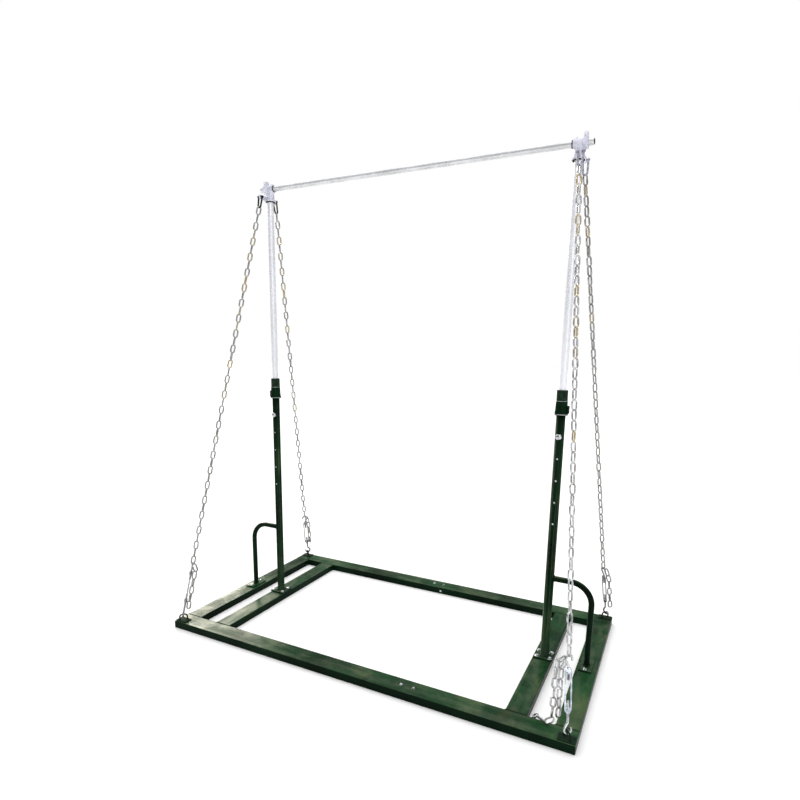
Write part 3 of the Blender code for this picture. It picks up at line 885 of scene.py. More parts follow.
class STAND_OT_base_frame(StandOperator, bpy.types.Operator):
    """Paint the base's beams and add their welds and splice bolts"""

    bl_idname = "stand.base_frame"
    bl_label = "Base Frame"

    def execute(self, context):
        for node, obj in frame["nodes"].items():
            for start, look in (("beam_", "green_beams"), ("crossbeam_", "green_crossbeams")):
                if node.startswith(start):
                    obj.material_slots[0].material = finish_of(look)
        chance = random.Random(settings().base.seed)
        bm = bmesh.new()
        for label in SIDES:
            for row in ("outer", "inner"):
                low, high = box_of(f"crossbeam_{row}_{label}")
                for sy in (-1, 1):
                    self.weld_end(bm, low, high, sy, chance)
        close_piece("base_welds", bm, "green_paint", "base", join=JOIN_FINE)
        self.splice_bolts(chance)
        return {"FINISHED"}

    def weld_end(self, bm, low, high, sy, chance):
        """Weld the top and the inner corners where a cross beam meets a long one."""
        sunk = 0.0006
        proud = 0.00045
        foot = 0.004
        y = sy * (BASE_HALF_WIDTH - BEAM_WIDTH - sunk)
        top = BEAM_TOP - sunk
        left = low.x - proud
        right = high.x + proud
        add_weld(bm, [(left, y, top), (right, y, top)], chance, 0.0026)
        if abs(left) < BASE_HALF_LENGTH:
            add_weld(bm, [(left, y, top), (left, y, foot)], chance)
        if abs(right) < BASE_HALF_LENGTH:
            add_weld(bm, [(right, y, foot), (right, y, top)], chance)

    def splice_bolts(self, chance):
        """Four bolts in the beams' tops and two in their inner faces."""
        bm = bmesh.new()
        middle = BASE_HALF_WIDTH - BEAM_WIDTH / 2
        inner = BASE_HALF_WIDTH - BEAM_WIDTH
        front = box_of("beam_front_left")[1].x
        rear = box_of("beam_rear_left")[1].x
        size = (0.0062, 0.0042)
        tops = ((rear - 0.028, middle), (rear + 0.036, middle))
        tops += ((front - 0.030, -middle), (front + 0.032, -middle))
        for x, y in tops:
            add_bolt(bm, (x, y, BEAM_TOP), UP, *size, chance.uniform(0, 1), 0.7)
        for x, sy, turn in ((rear + 0.035, 1, 0.4), (front + 0.032, -1, 0.2)):
            add_bolt(bm, (x, sy * inner, 0.019), (0, -sy, 0), *size, turn, 0.7)
        close_piece("splice_bolts", bm, "zinc_plate", "base", sharp=28, join=JOIN_FINE)


class STAND_OT_corner_rings(StandOperator, bpy.types.Operator):
    """Bend the four rings that the guys hook into, each on its plate"""

    bl_idname = "stand.corner_rings"
    bl_label = "Corner Rings"

    def execute(self, context):
        chance = random.Random(settings().base.seed + 1)
        wire = 0.004
        reach = 0.020
        bend = reach * 0.7
        square = math.pi / 2
        half_plate = Vector((0.035, 0.023, 0))
        for corner, (sx, sy) in CORNERS.items():
            node = f"corner_ring_{corner}"
            low, high = box_of(node)
            centre = (low + high) / 2
            diagonal = Vector((-sx, -sy, 0)).normalized()
            bm = bmesh.new()
            start = centre + diagonal * reach
            start.z = low.z + 0.0025
            leg = high.z - wire - bend - start.z
            side = diagonal.cross(Vector(UP))
            ring = Drawn(bm, start, UP, side, wire, 20).close_mouth().run(leg)
            ring.bend(square, bend, 8).run(2 * (reach - bend)).bend(square, bend, 8)
            ring.run(leg).close()
            plate_low, plate_high = centre - half_plate, centre + half_plate
            plate_low.z, plate_high.z = low.z, low.z + 0.005
            add_block(bm, plate_low, plate_high, 0.0010)
            for sign in (-1, 1):
                foot = centre + diagonal * reach * sign
                foot.z = plate_high.z
                add_ring_weld(bm, foot, wire + 0.0006, 10, chance, 0.0020)
            self.weld_plate(bm, plate_low, plate_high, chance)
            close_piece(f"ring_{corner}", bm, "dark_iron", "base", (node,), join=JOIN_FINE)
        return {"FINISHED"}

    def weld_plate(self, bm, low, high, chance):
        """A bead along the middle of each long edge."""
        sunk = 0.0002
        z = low.z + 0.0012
        left = Vector((low.x + sunk, low.y + sunk, z))
        right = Vector((high.x - sunk, left.y, z))
        far = Vector((0, high.y - low.y - 2 * sunk, 0))
        for start, end in ((left, right), (right + far, left + far)):
            add_weld(bm, [start.lerp(end, 0.18), start.lerp(end, 0.82)], chance, 0.0024)


# Posts


class STAND_OT_posts(StandOperator, bpy.types.Operator):
    """Finish the lower posts: drilled tube, welded base plate and the bolts that hold it"""

    bl_idname = "stand.posts"
    bl_label = "Posts"

    def execute(self, context):
        chance = random.Random(settings().base.seed + 2)
        for label, sx in SIDES.items():
            node = f"post_{label}"
            plate_top = box_of(node)[0].z + FOOT_PLATE
            welds = bmesh.new()
            foot = (sx * POST_X, 0, plate_top + 0.0008)
            add_ring_weld(welds, foot, POST_RADIUS + 0.0010, 40, chance, 0.0036)
            tube = merged_copy(node)
            close_piece(f"post_tube_{label}", tube, "green_paint", "base", (node,), 32)
            close_piece(f"post_weld_{label}", welds, "green_paint", "base", join=JOIN_FINE)
            self.plate_bolts(label, plate_top, chance)
        return {"FINISHED"}

    def plate_bolts(self, label, plate_top, chance):
        bm = bmesh.new()
        nodes = [f"post_bolt_{label}_{number}" for number in range(1, 5)]
        size = (settings().hardware.head_radius, 0.0062)
        for node in nodes:
            spot = middle_of(node)
            foot = (spot.x, spot.y, plate_top)
            add_bolt(bm, foot, UP, *size, chance.uniform(0, 1), stud=0.0030)
        name = f"plate_bolts_{label}"
        close_piece(name, bm, "zinc_plate", "base", nodes, 28, join=JOIN_FINE)


class STAND_OT_braces(StandOperator, bpy.types.Operator):
    """Bend the side braces and weld them to their foot plates and posts"""

    bl_idname = "stand.braces"
    bl_label = "Braces"

    def execute(self, context):
        chance = random.Random(settings().base.seed + 3)
        radius = 0.014
        bend = 0.103
        for label, sx in SIDES.items():
            node = f"brace_{label}"
            low, high = box_of(node)
            leg_x = sx * (max(abs(low.x), abs(high.x)) - 0.030)
            top = high.z - radius
            foot_top = low.z + FOOT_PLATE
            bm = bmesh.new()
            tube = Drawn(bm, (leg_x, 0, foot_top - 0.003), UP, BACK, radius, 32)
            tube.close_mouth().run(top - bend - foot_top + 0.003)
            tube.bend(-sx * math.pi / 2, bend, 20)
            tube.run(abs(tube.place.x) - POST_X - POST_RADIUS * 0.86).close()
            add_block(bm, (leg_x - 0.030, -0.060, low.z), (leg_x + 0.030, 0.060, foot_top), 0.0012)
            close_piece(f"brace_tube_{label}", bm, "green_paint", "base", (node,), join=JOIN)
            welds = bmesh.new()
            foot = (leg_x, 0, foot_top + 0.0008)
            add_ring_weld(welds, foot, radius + 0.0010, 28, chance, 0.0034)
            self.weld_to_post(welds, sx, top, radius + 0.0006, chance)
            close_piece(f"brace_welds_{label}", welds, "green_paint", "base", join=JOIN_FINE)
            bolts = bmesh.new()
            for y in (-0.045, 0.045):
                turn = chance.uniform(0, 1)
                add_bolt(bolts, (leg_x, y, foot_top), UP, 0.0074, 0.0050, turn, 0.9, 0.002)
            name = f"brace_bolts_{label}"
            close_piece(name, bolts, "zinc_plate", "base", sharp=28, join=JOIN_FINE)
        return {"FINISHED"}

    def weld_to_post(self, bm, sx, height, radius, chance):
        """Follow the saddle line where the brace meets the post."""
        count = 28
        points = []
        for i in range(count):
            angle = math.tau * i / count
            y = radius * math.cos(angle)
            x = sx * (POST_X + math.sqrt(POST_RADIUS**2 - y * y) + 0.0006)
            points.append((x, y, height + radius * math.sin(angle)))
        add_weld(bm, points, chance, 0.0032, True)


class STAND_OT_collars(StandOperator, bpy.types.Operator):
    """Turn the bell collars with their clamp ears, and the caps on top of them"""

    bl_idname = "stand.collars"
    bl_label = "Collars and Caps"

    def execute(self, context):
        for label, sx in SIDES.items():
            low, high = box_of(f"collar_{label}")
            place = at(sx * POST_X, 0, 0)
            self.bell(label, sx, place, low.z, high.z)
            self.bolts(label, sx * (POST_X + 0.0302), low.z)
            # painted highlights: bright rings along the collar's top edge and its foot
            self.painted_highlight_rims(label, place, low.z + 0.0046, high.z)
            self.cap(label, place)
        return {"FINISHED"}

    def bell(self, label, sx, place, bottom, top):
        bore = POST_RADIUS + 0.0002
        profile = [(bore, top - 0.0002)]
        upper = ((0.0250, 0.0002), (0.0264, 0.0008), (0.0270, 0.0022), (0.0268, 0.0050))
        upper += ((0.0262, 0.0068), (0.0266, 0.0090))
        profile += [(radius, top - drop) for radius, drop in upper]
        lower = ((0.0276, 0.030), (0.0290, 0.016), (0.0302, 0.0095), (0.0311, 0.0062))
        lower += ((0.0310, 0.0030), (0.0300, 0.0012), (0.0275, 0.0), (bore, 0.0))
        profile += [(radius, bottom + rise) for radius, rise in lower]
        bm = bmesh.new()
        add_turned(bm, profile + profile[:1], place, 56)
        tidy(bm)
        inner, outer = sorted((sx * (POST_X + 0.0245), sx * (POST_X + 0.0350)))
        for near, far in ((-0.0108, -0.0012), (0.0012, 0.0108)):
            add_block(bm, (inner, near, bottom + 0.009), (outer, far, bottom + 0.045), 0.0018, 3)
        node = f"collar_{label}"
        close_piece(f"collar_bell_{label}", bm, "green_paint", "base", (node,), 35, "green_collar")

    def bolts(self, label, x, bottom):
        """Two bolts through the clamp ear, each with its nut."""
        bm = bmesh.new()
        for z in (bottom + 0.018, bottom + 0.036):
            add_bolt(bm, (x, -0.0106, z), (0, -1, 0), 0.0044, 0.0032, 0.3 + z, 0.6)
            add_bolt(bm, (x, 0.0106, z), BACK, 0.0044, 0.0034, 0.8 + z, 0.6, 0.0020)
            Drawn(bm, (x, -0.010, z), BACK, RIGHT, 0.0022).close_mouth().run(0.020).close()
        name = f"collar_bolts_{label}"
        close_piece(name, bm, "green_paint", "base", sharp=28, join=JOIN_FINE)

    def painted_highlight_rims(self, label, place, lip, top):
        """Bright metal rings round the collar's foot and its top, as painted highlights: they stand
        for the bright lines that light draws along those edges.
        """
        edge = ((0.0236, -0.0012), (0.0258, -0.0008), (0.0262, 0.0002), (0.0258, 0.0010))
        edge += ((0.0236, 0.0012), (0.0236, -0.0012))
        foot = ((0.0296, -0.0010), (0.0314, -0.0007), (0.0316, 0.0004), (0.0312, 0.0009))
        foot += ((0.0296, 0.0010), (0.0296, -0.0010))
        bm = bmesh.new()
        # painted highlight: each ring is a bright band where the edge catches the light
        for outline, height in ((edge, top), (foot, lip)):
            add_turned(bm, [(radius, height + z) for radius, z in outline], place, 56)
        close_piece(f"collar_painted_highlight_rim_{label}", bm, "zinc_plate", "base", join=JOIN)

    def cap(self, label, place):
        """A ribbed cap."""
        node = f"collar_cap_{label}"
        low, high = box_of(node)
        bore = TUBE_RADIUS + 0.0004
        outer = 0.0254
        groove = 0.0244
        rib = 0.0072
        profile = [(bore, high.z - 0.0006), (0.0225, high.z), (0.0241, high.z - 0.0006)]
        profile.append((outer, high.z - 0.0024))
        z = high.z - 0.006
        while z - rib > low.z + 0.004:
            profile += [(outer, z), (groove, z - 0.0008), (groove, z - 0.0018), (outer, z - 0.0026)]
            z -= rib
        profile += [(outer, low.z + 0.0016), (0.0247, low.z + 0.0002), (bore, low.z + 0.0002)]
        profile.append(profile[0])
        turned_piece(f"cap_{label}", profile, place, 56, "black_rubber", "base", (node,), 35)


# The rising part


class STAND_OT_tubes(StandOperator, bpy.types.Operator):
    """Turn the two pale upper tubes"""

    bl_idname = "stand.tubes"
    bl_label = "Upper Tubes"

    def execute(self, context):
        outer = TUBE_RADIUS
        inner = outer - 0.0025
        chamfer = 0.001
        steps = 24
        for label, sx in SIDES.items():
            node = f"upper_tube_{label}"
            low, high = box_of(node)
            rise = (high.z - low.z - 2 * chamfer) / steps
            profile = [(outer, low.z + chamfer + rise * i) for i in range(steps + 1)]
            profile += [(outer - chamfer, high.z), (inner, high.z), (inner, low.z)]
            profile += [(outer - chamfer, low.z), (outer, low.z + chamfer)]
            place = at(sx * POST_X, 0, 0)
            slot = "galvanised_tube"
            turned_piece(f"tube_{label}", profile, place, 48, slot, "carriage", (node,))
        return {"FINISHED"}


class STAND_OT_bar(StandOperator, bpy.types.Operator):
    """Turn the bar, with its chamfered ends"""

    bl_idname = "stand.bar"
    bl_label = "Bar"

    def execute(self, context):
        half = box_of("high_bar")[1].x
        chamfer = 0.0015
        steps = 32
        rise = 2 * (half - chamfer) / steps
        profile = [(0.0, -half), (BAR_RADIUS - chamfer, -half)]
        profile += [(BAR_RADIUS, chamfer - half + rise * i) for i in range(steps + 1)]
        profile += [(BAR_RADIUS - chamfer, half), (0.0, half)]
        place = at(0, 0, BAR_Z) @ along(RIGHT)
        turned_piece("bar", profile, place, 56, "bar_steel", "carriage", ("high_bar",))
        return {"FINISHED"}


class STAND_OT_heads(StandOperator, bpy.types.Operator):
    """Cast the heads that join tube, bar and chain lugs, with their bolts"""

    bl_idname = "stand.heads"
    bl_label = "Heads"

    def execute(self, context):
        cell = settings().hardware.cast_grain
        slot = "galvanised_tube"
        for label, sx in SIDES.items():
            node = f"head_{label}"
            name = f"head_casting_{label}"
            mesh = rounded(merged_copy(node), name, cell)
            close_mesh(name, mesh, slot, "carriage", (node,), 60, "cast_head")
            self.rings(label, sx)
            bm = bmesh.new()
            for sy, stud in ((-1, 0.0), (1, 0.004)):
                foot = (sx * HEAD_EAR_X, sy * 0.0118, BAR_Z + 0.0325)
                add_bolt(bm, foot, (0, sy, 0), 0.0070, 0.0050, 0.35 * sy, 0.9, stud)
            foot = (sx * BAR_BOLT_X, 0, BAR_Z + 0.0208)
            add_bolt(bm, foot, UP, 0.0058, 0.0046, 0.2, 0.5)
            foot = (sx * POST_X, -0.0222, LUG_BOLT_Z)
            add_bolt(bm, foot, (0, -1, 0), 0.0058, 0.0044, 0.5, 0.5)
            close_piece(f"head_bolts_{label}", bm, slot, "carriage", sharp=28, join=JOIN_HIGH)
        return {"FINISHED"}

    def rings(self, label, sx):
        """Dark rings where the tube and the bar enter the casting, and the bar's plug. The ring
        round the tube, under the casting, is painted shade: it stands for the flange's shadowed
        underside.
        """
        low, high = box_of(f"head_{label}")
        inner = min(abs(low.x), abs(high.x))
        end = box_of("high_bar")[1].x
        bm = bmesh.new()
        # painted shade: a dark ring under the casting where the flange's underside is in shadow
        self.ring(bm, at(sx * POST_X, 0, low.z), TUBE_RADIUS, 0.0088, -0.0034)
        mouth = at(sx * inner, 0, BAR_Z) @ along((-sx, 0, 0))
        self.ring(bm, mouth, BAR_RADIUS, 0.0026, -0.0030)
        plug = [(0.0, -0.001), (BAR_RADIUS - 0.0022, -0.001), (BAR_RADIUS - 0.0022, 0.0012)]
        plug += [(BAR_RADIUS - 0.0034, 0.0018), (0.0, 0.0022)]
        add_turned(bm, plug, at(sx * end, 0, BAR_Z) @ along((sx, 0, 0)))
        close_piece(f"head_rings_and_painted_shade_{label}", bm, "dark_iron", "carriage", join=JOIN)

    def ring(self, bm, matrix, inner, width, low):
        bore = inner + 0.0002
        outer = inner + width
        lip = [(bore, low), (outer - 0.0006, low), (outer, low + 0.0010)]
        lip += [(outer - 0.0004, 0.0005), (bore, 0.0008), (bore, low)]
        add_turned(bm, lip, matrix, 48)


class STAND_OT_lock_pins(StandOperator, bpy.types.Operator):
    """Turn the domed pins that set the bar's height"""

    bl_idname = "stand.lock_pins"
    bl_label = "Lock Pins"

    def execute(self, context):
        back = POST_RADIUS + 0.0003
        shank = 0.0047
        dome = 0.0138
        brim = back + 0.0044
        steps = 8
        for label, sx in SIDES.items():
            node = f"lock_pin_{label}"
            face = -box_of(node)[0].y
            profile = [(0.0, -0.0300), (shank - 0.0014, -0.0300), (shank, -0.0282)]
            profile += [(shank, back - 0.0012), (shank + 0.0008, back), (0.0132, back)]
            profile += [(0.0142, back + 0.0009), (0.0144, back + 0.0030), (dome, brim)]
            for i in range(1, steps):
                rise = math.radians(90 * i / steps)
                profile.append((dome * math.cos(rise), brim + (face - brim) * math.sin(rise)))
            profile.append((0.0, face))
            place = at(sx * POST_X, 0, PIN_Z) @ along((0, -1, 0))
            turned_piece(f"domed_pin_{label}", profile, place, 40, "zinc_plate", node, (node,), 35)
        return {"FINISHED"}


# Guys


class STAND_OT_shackles(StandOperator, bpy.types.Operator):
    """Bend the long shackles under the head's lugs, with their eyes and pins"""

    bl_idname = "stand.shackles"
    bl_label = "Shackles"

    def execute(self, context):
        wire = 0.0046
        half = 0.0125
        crown = 0.0088
        lean = math.atan((half - crown) / (SHACKLE_LENGTH - crown))
        leg = (SHACKLE_LENGTH - crown) / math.cos(lean)
        heading = (-math.sin(lean), 0, -math.cos(lean))
        eye = [(0.0, -0.0044), (0.0052, -0.0044), (0.0064, -0.0034), (0.0064, 0.0034)]
        eye += [(0.0052, 0.0044), (0.0, 0.0044)]
        pin = [(0.0, -0.0190), (0.0050, -0.0190), (0.0056, -0.0184), (0.0056, -0.0170)]
        pin += [(0.0040, -0.0162), (0.0040, 0.0185), (0.0034, 0.0190), (0.0, 0.0190)]
        # painted shade: the front left shackle takes the near-black iron, standing for the shadow
        # it hangs in; the rear left one is brown iron
        looks = {"front_left": "dark_iron", "rear_left": "brown_iron"}
        for corner in CORNERS:
            node = f"shackle_{corner}"
            bm = bmesh.new()
            bow = Drawn(bm, (half, 0, 0.0010), heading, BACK, wire, 20).close_mouth()
            bow.run(leg).bend(math.pi - 2 * lean, crown, 16).run(leg).close()
            for x, profile in ((-half, eye), (half, eye), (0, pin)):
                add_turned(bm, profile, at(x, 0, 0) @ along(RIGHT), 24)
            tidy(bm)
            bmesh.ops.transform(bm, matrix=shackle_matrix(corner), verts=bm.verts)
            look = looks.get(corner, "worn_iron")
            close_piece(f"bow_{corner}", bm, "dark_iron", node, (node,), look=look)
        return {"FINISHED"}


def plain_link(pitch):
    """One welded link along Z, its inner ends half a pitch from the origin."""
    chain = settings().chain
    bend = chain.width / 2 - chain.wire
    straight = pitch - 2 * bend
    bm = bmesh.new()
    wire = Drawn(bm, (bend, 0, -straight / 2), UP, BACK, chain.wire, 7)
    for _ in range(2):
        wire.run(straight).bend(-math.pi, bend, 5)
    tidy(bm)
    return bm


def add_link(bm, link, matrix, tone_layer, tone):
    """Copy a link into a chain, in place, with its own tone."""
    mesh = bpy.data.meshes.new("link")
    link.to_mesh(mesh)
    mesh.transform(matrix)
    before = len(bm.verts)
    bm.from_mesh(mesh)
    bpy.data.meshes.remove(mesh)
    bm.verts.ensure_lookup_table()
    for index in range(before, len(bm.verts)):
        bm.verts[index][tone_layer] = tone


def link_tone(chance, height):
    """More of the upper links have yellowed."""
    limit = 0.30 * max(0.0, min(1.0, (height - 0.9) / 1.3))
    return chance.uniform(0.35, 0.80) if chance.random() < limit else chance.uniform(0.0, 0.10)


class STAND_OT_chains(StandOperator, bpy.types.Operator):
    """Link the four guy chains from the turnbuckles' hooks to the shackles"""

    bl_idname = "stand.chains"
    bl_label = "Guy Chains"

    def execute(self, context):
        chain = settings().chain
        square = math.pi / 2
        for number, corner in enumerate(CORNERS):
            chance = random.Random(GUY_SEED + number)
            guy = guy_matrix(corner)
            bow = shackle_matrix(corner) @ Vector((0, 0, -SHACKLE_LENGTH))
            first = UPPER_HOOK_AT + 0.0102
            last = (guy.inverted() @ bow).z + 0.0040
            pitch = (last - first) / chain.links
            link = plain_link(pitch)
            bm = bmesh.new()
            layer = bm.verts.layers.float.new("link_tone")
            for i in range(chain.links):
                inside = 0 < i < chain.links - 1
                turn = square + square * (i % 2)
                turn += chance.uniform(-1, 1) * chain.looseness * inside
                lean = chance.uniform(-0.03, 0.03) * inside
                matrix = guy @ at(0, 0, first + pitch * (i + 0.5))
                matrix = matrix @ Matrix.Rotation(turn, 4, "Z") @ Matrix.Rotation(lean, 4, "Y")
                add_link(bm, link, matrix, layer, link_tone(chance, matrix.translation.z))
            link.free()
            node = f"guy_chain_{corner}"
            look = guy_finish(corner, "zinc_links", "dull_links")
            piece = close_piece(f"links_{corner}", bm, "zinc_plate", "base", (node,), 60, look)
            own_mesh(piece)
        return {"FINISHED"}


def spare_route(corner):
    """Points that the spare end follows, from the hook down."""
    guy = guy_matrix(corner)
    hook = guy @ Vector((0, 0, UPPER_HOOK_AT))
    down = (guy.translation - hook).normalized()
    side = -1 if corner == "front_right" else 1
    start = [hook + Vector((side * 0.010, 0, 0.010)), hook + Vector((side * 0.022, 0, -0.016))]
    lengths = {"front_left": 0.235, "rear_left": 0.215, "rear_right": 0.225}
    if corner in lengths:
        beside = hook + Vector((side * 0.027, 0, -0.004))
        return start + [beside + down * 0.050, beside + down * lengths[corner]]
    route = [
        (0.986, 0.0, 0.330),
        (0.984, -0.001, 0.260),
        (0.983, -0.003, 0.160),
        (0.981, -0.005, 0.090),
        (0.976, -0.006, 0.062),
        (0.962, -0.005, 0.051),
        (0.944, 0.001, 0.0485),
        (0.928, 0.010, 0.0475),
        (0.914, 0.022, 0.042),
        (0.903, 0.037, 0.028),
        (0.894, 0.056, 0.012),
    ]
    return start + [Vector((x, hook.y + dy, z)) for x, dy, z in route]


def spare_strands(corner):
    """The spare end, doubled where the longest one is hooked up again."""
    route = spare_route(corner)
    if corner != "front_right":
        return [route]
    hook = guy_matrix(corner) @ Vector((0, 0, UPPER_HOOK_AT))
    inner = [hook + Vector(d) for d in ((-0.008, -0.006, -0.010), (-0.024, -0.006, -0.045))]
    inner += [Vector((inner[-1].x, inner[-1].y, z)) for z in (0.200, 0.098)]
    outer = [point + Vector((-0.010, 0, 0)) for point in route[1:]]
    return [route[:1] + outer, inner]


def walk(points, step):
    """Places at equal steps along a line of points, each with its direction."""
    places = []
    ahead = step / 2
    for start, end in zip(points, points[1:]):
        span = end - start
        while ahead <= span.length:
            places.append((start + span.normalized() * ahead, span.normalized()))
            ahead += step
        ahead -= span.length
    return places


class STAND_OT_spare_ends(StandOperator, bpy.types.Operator):
    """Hang the chains' spare ends from the upper hooks"""

    bl_idname = "stand.spare_ends"
    bl_label = "Spare Ends"

    def execute(self, context):
        pitch = 0.0423
        square = math.pi / 2
        link = plain_link(pitch)
        for number, corner in enumerate(CORNERS):
            chance = random.Random(SPARE_SEED + number)
            bm = bmesh.new()
            layer = bm.verts.layers.float.new("link_tone")
            for strand in spare_strands(corner):
                for i, (spot, heading) in enumerate(walk(strand, pitch)):
                    turn = square / 2 + square * (i % 2) + chance.uniform(-0.12, 0.12)
                    matrix = Matrix.Translation(spot) @ along(heading, turn)
                    add_link(bm, link, matrix, layer, link_tone(chance, 0.0))
            node = f"chain_tail_{corner}"
            look = guy_finish(corner, "zinc_links", "dull_links")
            close_piece(f"spare_links_{corner}", bm, "zinc_plate", "base", (node,), 60, look)
        link.free()
        return {"FINISHED"}


class STAND_OT_turnbuckles(StandOperator, bpy.types.Operator):
    """Forge the open turnbuckle bodies"""

    bl_idname = "stand.turnbuckles"
    bl_label = "Turnbuckles"

    def execute(self, context):
        cell = settings().hardware.cast_grain * 0.8
        for corner in CORNERS:
            node = f"turnbuckle_{corner}"
            name = f"forged_body_{corner}"
            mesh = rounded(self.body(corner), name, cell)
            look = guy_finish(corner, "zinc_forged", "dull_zinc")
            close_mesh(name, mesh, "zinc_plate", node, (node,), 60, look)
        return {"FINISHED"}

    def body(self, corner):
        """A long loop of bar with a boss at each end for the hooks' shanks."""
        middle = 0.151
        half = 0.089
        wide = 0.0132
        straight = half - 0.0035 - wide
        bm = bmesh.new()
        loop = Drawn(bm, (wide, 0, -straight), UP, BACK, 0.0033, 16)
        for _ in range(2):
            loop.run(2 * straight).bend(-math.pi, wide, 14)
        tidy(bm)
        boss = [(0.0, 0.0), (0.0072, 0.0), (0.0086, 0.0014), (0.0092, 0.0060)]
        boss += [(0.0092, 0.0170), (0.0080, 0.0225), (0.0066, 0.0240), (0.0, 0.0240)]
        for flip in (-1, 1):
            add_turned(bm, boss, Matrix.Diagonal((1, 1, -flip, 1)) @ at(0, 0, -half), 28)
        bmesh.ops.recalc_face_normals(bm, faces=bm.faces)
        bmesh.ops.transform(bm, matrix=guy_matrix(corner) @ at(0, 0, middle), verts=bm.verts)
        return bm


class STAND_OT_hooks(StandOperator, bpy.types.Operator):
    """Bend the turnbuckles' hooks and cut the threads on their shanks"""

    bl_idname = "stand.hooks"
    bl_label = "Hooks"

    def execute(self, context):
        for corner in CORNERS:
            guy = guy_matrix(corner)
            upside_down = Matrix.Diagonal((1, 1, -1, 1))
            look = guy_finish(corner, "zinc_plate", "dull_zinc")
            self.hook(f"lower_hook_{corner}", guy, 0.112, look)
            upper = guy @ at(0, 0, UPPER_HOOK_AT) @ upside_down
            self.hook(f"upper_hook_{corner}", upper, UPPER_HOOK_AT - 0.190, look)
        return {"FINISHED"}

    def hook(self, node, place, length, look):
        """An open hook in the guy's X-Z plane, with its shank up along Z."""
        arc = 0.0155
        bend = 0.010
        tip = math.radians(15)
        bm = bmesh.new()
        start = (arc * math.cos(tip), 0, arc * math.sin(tip))
        bar = Drawn(bm, start, (math.sin(tip), 0, -math.cos(tip)), BACK, 0.0048, 16)
        bar.bend(math.radians(220), arc, 24)
        neck = Vector((0, 0, 0.026))
        bar.bend(bar.heading.angle(neck - bar.place) * 0.9, bend, 4)
        bar.run(max(0.001, (neck - bar.place).dot(bar.heading) - 0.002))
        bar.bend(-bar.heading.angle(Vector(UP)), bend, 5)
        bar.run(0.004).close()
        bar.turn_back().round_off()
        self.thread(bm, 0.030, length)
        tidy(bm)
        bmesh.ops.transform(bm, matrix=place, verts=bm.verts)
        bmesh.ops.recalc_face_normals(bm, faces=bm.faces)
        close_piece(f"bent_{node}", bm, "zinc_plate", "base", (node,), 50, look)

    def thread(self, bm, low, high):
        """A round core with a ridge wound round it."""
        pitch = settings().hardware.thread_pitch
        core = 0.0046
        crest = 0.0054
        root = core - 0.0002
        steps = 14
        turns = (high - low - 0.004) / pitch
        shank = [(0.0, low - 0.002), (core, low - 0.002), (core, high - 0.001)]
        shank += [(core - 0.001, high), (0.0, high)]
        add_turned(bm, shank, Matrix.Identity(4), 20)
        ridge = ((root, 0.0), (crest, 0.40), (crest, 0.55), (root, 0.95))
        ridge = [(radius, low + pitch * share) for radius, share in ridge]
        verts, edges = add_outline(bm, ridge, closed=True)
        count = round(steps * turns)
        ends = spin(bm, verts + edges, math.tau * turns, count, climb=pitch / steps)
        bmesh.ops.edgeloop_fill(bm, edges=edges)
        bmesh.ops.edgeloop_fill(bm, edges=ends)


# Stage


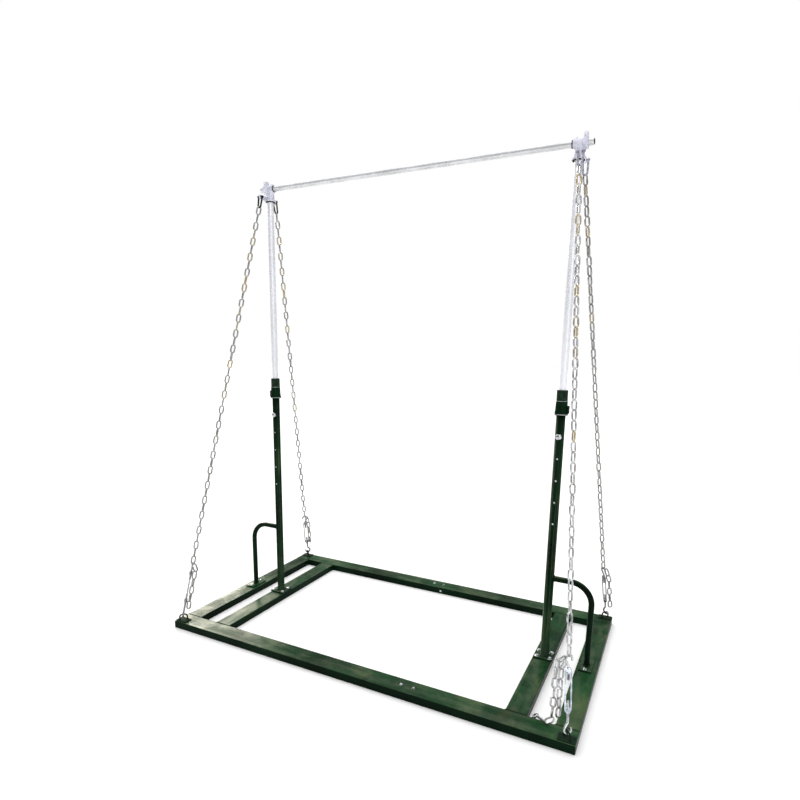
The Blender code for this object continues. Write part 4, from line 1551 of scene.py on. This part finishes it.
class STAND_OT_stage(StandOperator, bpy.types.Operator):
    """Lay the floor, hang the lights and set the camera"""

    bl_idname = "stand.stage"
    bl_label = "Stage"

    def execute(self, context):
        scene = context.scene
        scene.view_settings.view_transform = "Standard"
        self.floor(scene)
        self.sky(scene)
        self.sun(scene, "left_light", -53, 22, 1.45, 20, (1.0, 0.97, 0.81))
        self.sun(scene, "top_light", -20, 76, 1.4, 80)
        self.sun(scene, "front_light", 140, 18, 0.55, 36)
        self.camera(scene)
        return {"FINISHED"}

    def floor(self, scene):
        bm = bmesh.new()
        bmesh.ops.create_grid(bm, x_segments=8, y_segments=8, size=60)
        mesh = as_mesh("floor", bm)
        finish = Finish("floor", Roughness=0.9, Specular_IOR_Level=0.1)
        pale = settings().stage.floor
        colour = finish.blend(finish.noise(1.6, 3.0), shade_of(pale, 0.985), pale)
        mesh.materials.append(finish.apply(Base_Color=colour))
        floor = bpy.data.objects.new("floor", mesh)
        scene.collection.objects.link(floor)

    def sky(self, scene):
        """White to look at, and darker near the horizon to light by."""
        world = bpy.data.worlds.new("studio")
        scene.world = world
        world.use_nodes = True
        nodes = Nodes(world.node_tree)
        place = nodes.add("ShaderNodeTexCoord", output="Generated")
        height = nodes.add("ShaderNodeSeparateXYZ", None, {0: place}, "Z")
        ramp = {"Value": height, "From Min": 0.15, "From Max": 0.80, "To Min": 0.30, "To Max": 0.95}
        power = nodes.add("ShaderNodeMapRange", None, ramp)
        white = (1.0, 1.0, 1.0, 1.0)
        kind = "ShaderNodeBackground"
        light = nodes.add(kind, None, {"Color": white, "Strength": power})
        seen = nodes.add(kind, None, {"Color": white, "Strength": 1.0})
        eye = nodes.add("ShaderNodeLightPath", output="Is Camera Ray")
        either = nodes.add("ShaderNodeMixShader", None, {0: eye, 1: light, 2: seen})
        nodes.feed(world.node_tree.nodes["World Output"].inputs["Surface"], either)

    def sun(self, scene, name, heading, height, power, spread, colour=(1.0, 1.0, 1.0)):
        """A very soft light from a heading (turned from +Y) and a height in degrees."""
        light = bpy.data.lights.new(name, "SUN")
        light.energy = power
        light.color = colour
        light.angle = math.radians(spread)
        obj = bpy.data.objects.new(name, light)
        source = heading_of(math.radians(heading), math.radians(height))
        obj.rotation_euler = source.to_track_quat("Z", "Y").to_euler()
        scene.collection.objects.link(obj)

    def camera(self, scene):
        stage = settings().stage
        ahead = heading_of(stage.heading, stage.tilt)
        level = ahead.cross(Vector(UP)).normalized()
        right = Matrix.Rotation(-stage.roll, 3, ahead) @ level
        data = bpy.data.cameras.new("camera")
        data.sensor_width = 36
        data.lens = stage.lens
        data.shift_x = 0.0029
        data.shift_y = 0.0768
        data.clip_end = 200
        camera = bpy.data.objects.new("camera", data)
        camera.matrix_world = Matrix.Translation(stage.eye) @ axes(right, -ahead)
        scene.collection.objects.link(camera)
        scene.camera = camera


def heading_of(turn, rise):
    """Direction at a turn from +Y towards +X, and a rise above the level."""
    level = math.cos(rise)
    return Vector((math.sin(turn) * level, math.cos(turn) * level, math.sin(rise)))


class STAND_PT_panel(bpy.types.Panel):
    """Lists the stand's pieces"""

    bl_label = "Bar Stand"
    bl_idname = "STAND_PT_panel"
    bl_space_type = "VIEW_3D"
    bl_region_type = "UI"
    bl_category = "Bar Stand"

    def draw(self, context):
        layout = self.layout
        for operator in OPERATORS:
            layout.operator(operator.bl_idname)
        stand = settings()
        for group in (stand.base, stand.metal, stand.chain, stand.hardware, stand.stage):
            box = layout.box()
            for name in group.__annotations__:
                box.prop(group, name)


SETTINGS = (
    FrameSettings,
    MetalSettings,
    ChainSettings,
    HardwareSettings,
    StageSettings,
    StandSettings,
)
OPERATORS = (
    STAND_OT_stage,
    STAND_OT_base_frame,
    STAND_OT_corner_rings,
    STAND_OT_posts,
    STAND_OT_braces,
    STAND_OT_collars,
    STAND_OT_tubes,
    STAND_OT_bar,
    STAND_OT_heads,
    STAND_OT_lock_pins,
    STAND_OT_shackles,
    STAND_OT_chains,
    STAND_OT_spare_ends,
    STAND_OT_turnbuckles,
    STAND_OT_hooks,
)


def register():
    for cls in SETTINGS + OPERATORS + (STAND_PT_panel,):
        bpy.utils.register_class(cls)
    bpy.types.Scene.bar_stand = PointerProperty(type=StandSettings)


def unregister():
    del bpy.types.Scene.bar_stand
    for cls in reversed(SETTINGS + OPERATORS + (STAND_PT_panel,)):
        bpy.utils.unregister_class(cls)


def main():
    register()
    for operator in OPERATORS:
        group, name = operator.bl_idname.split(".")
        getattr(getattr(bpy.ops, group), name)()


if __name__ == "__main__":
    main()
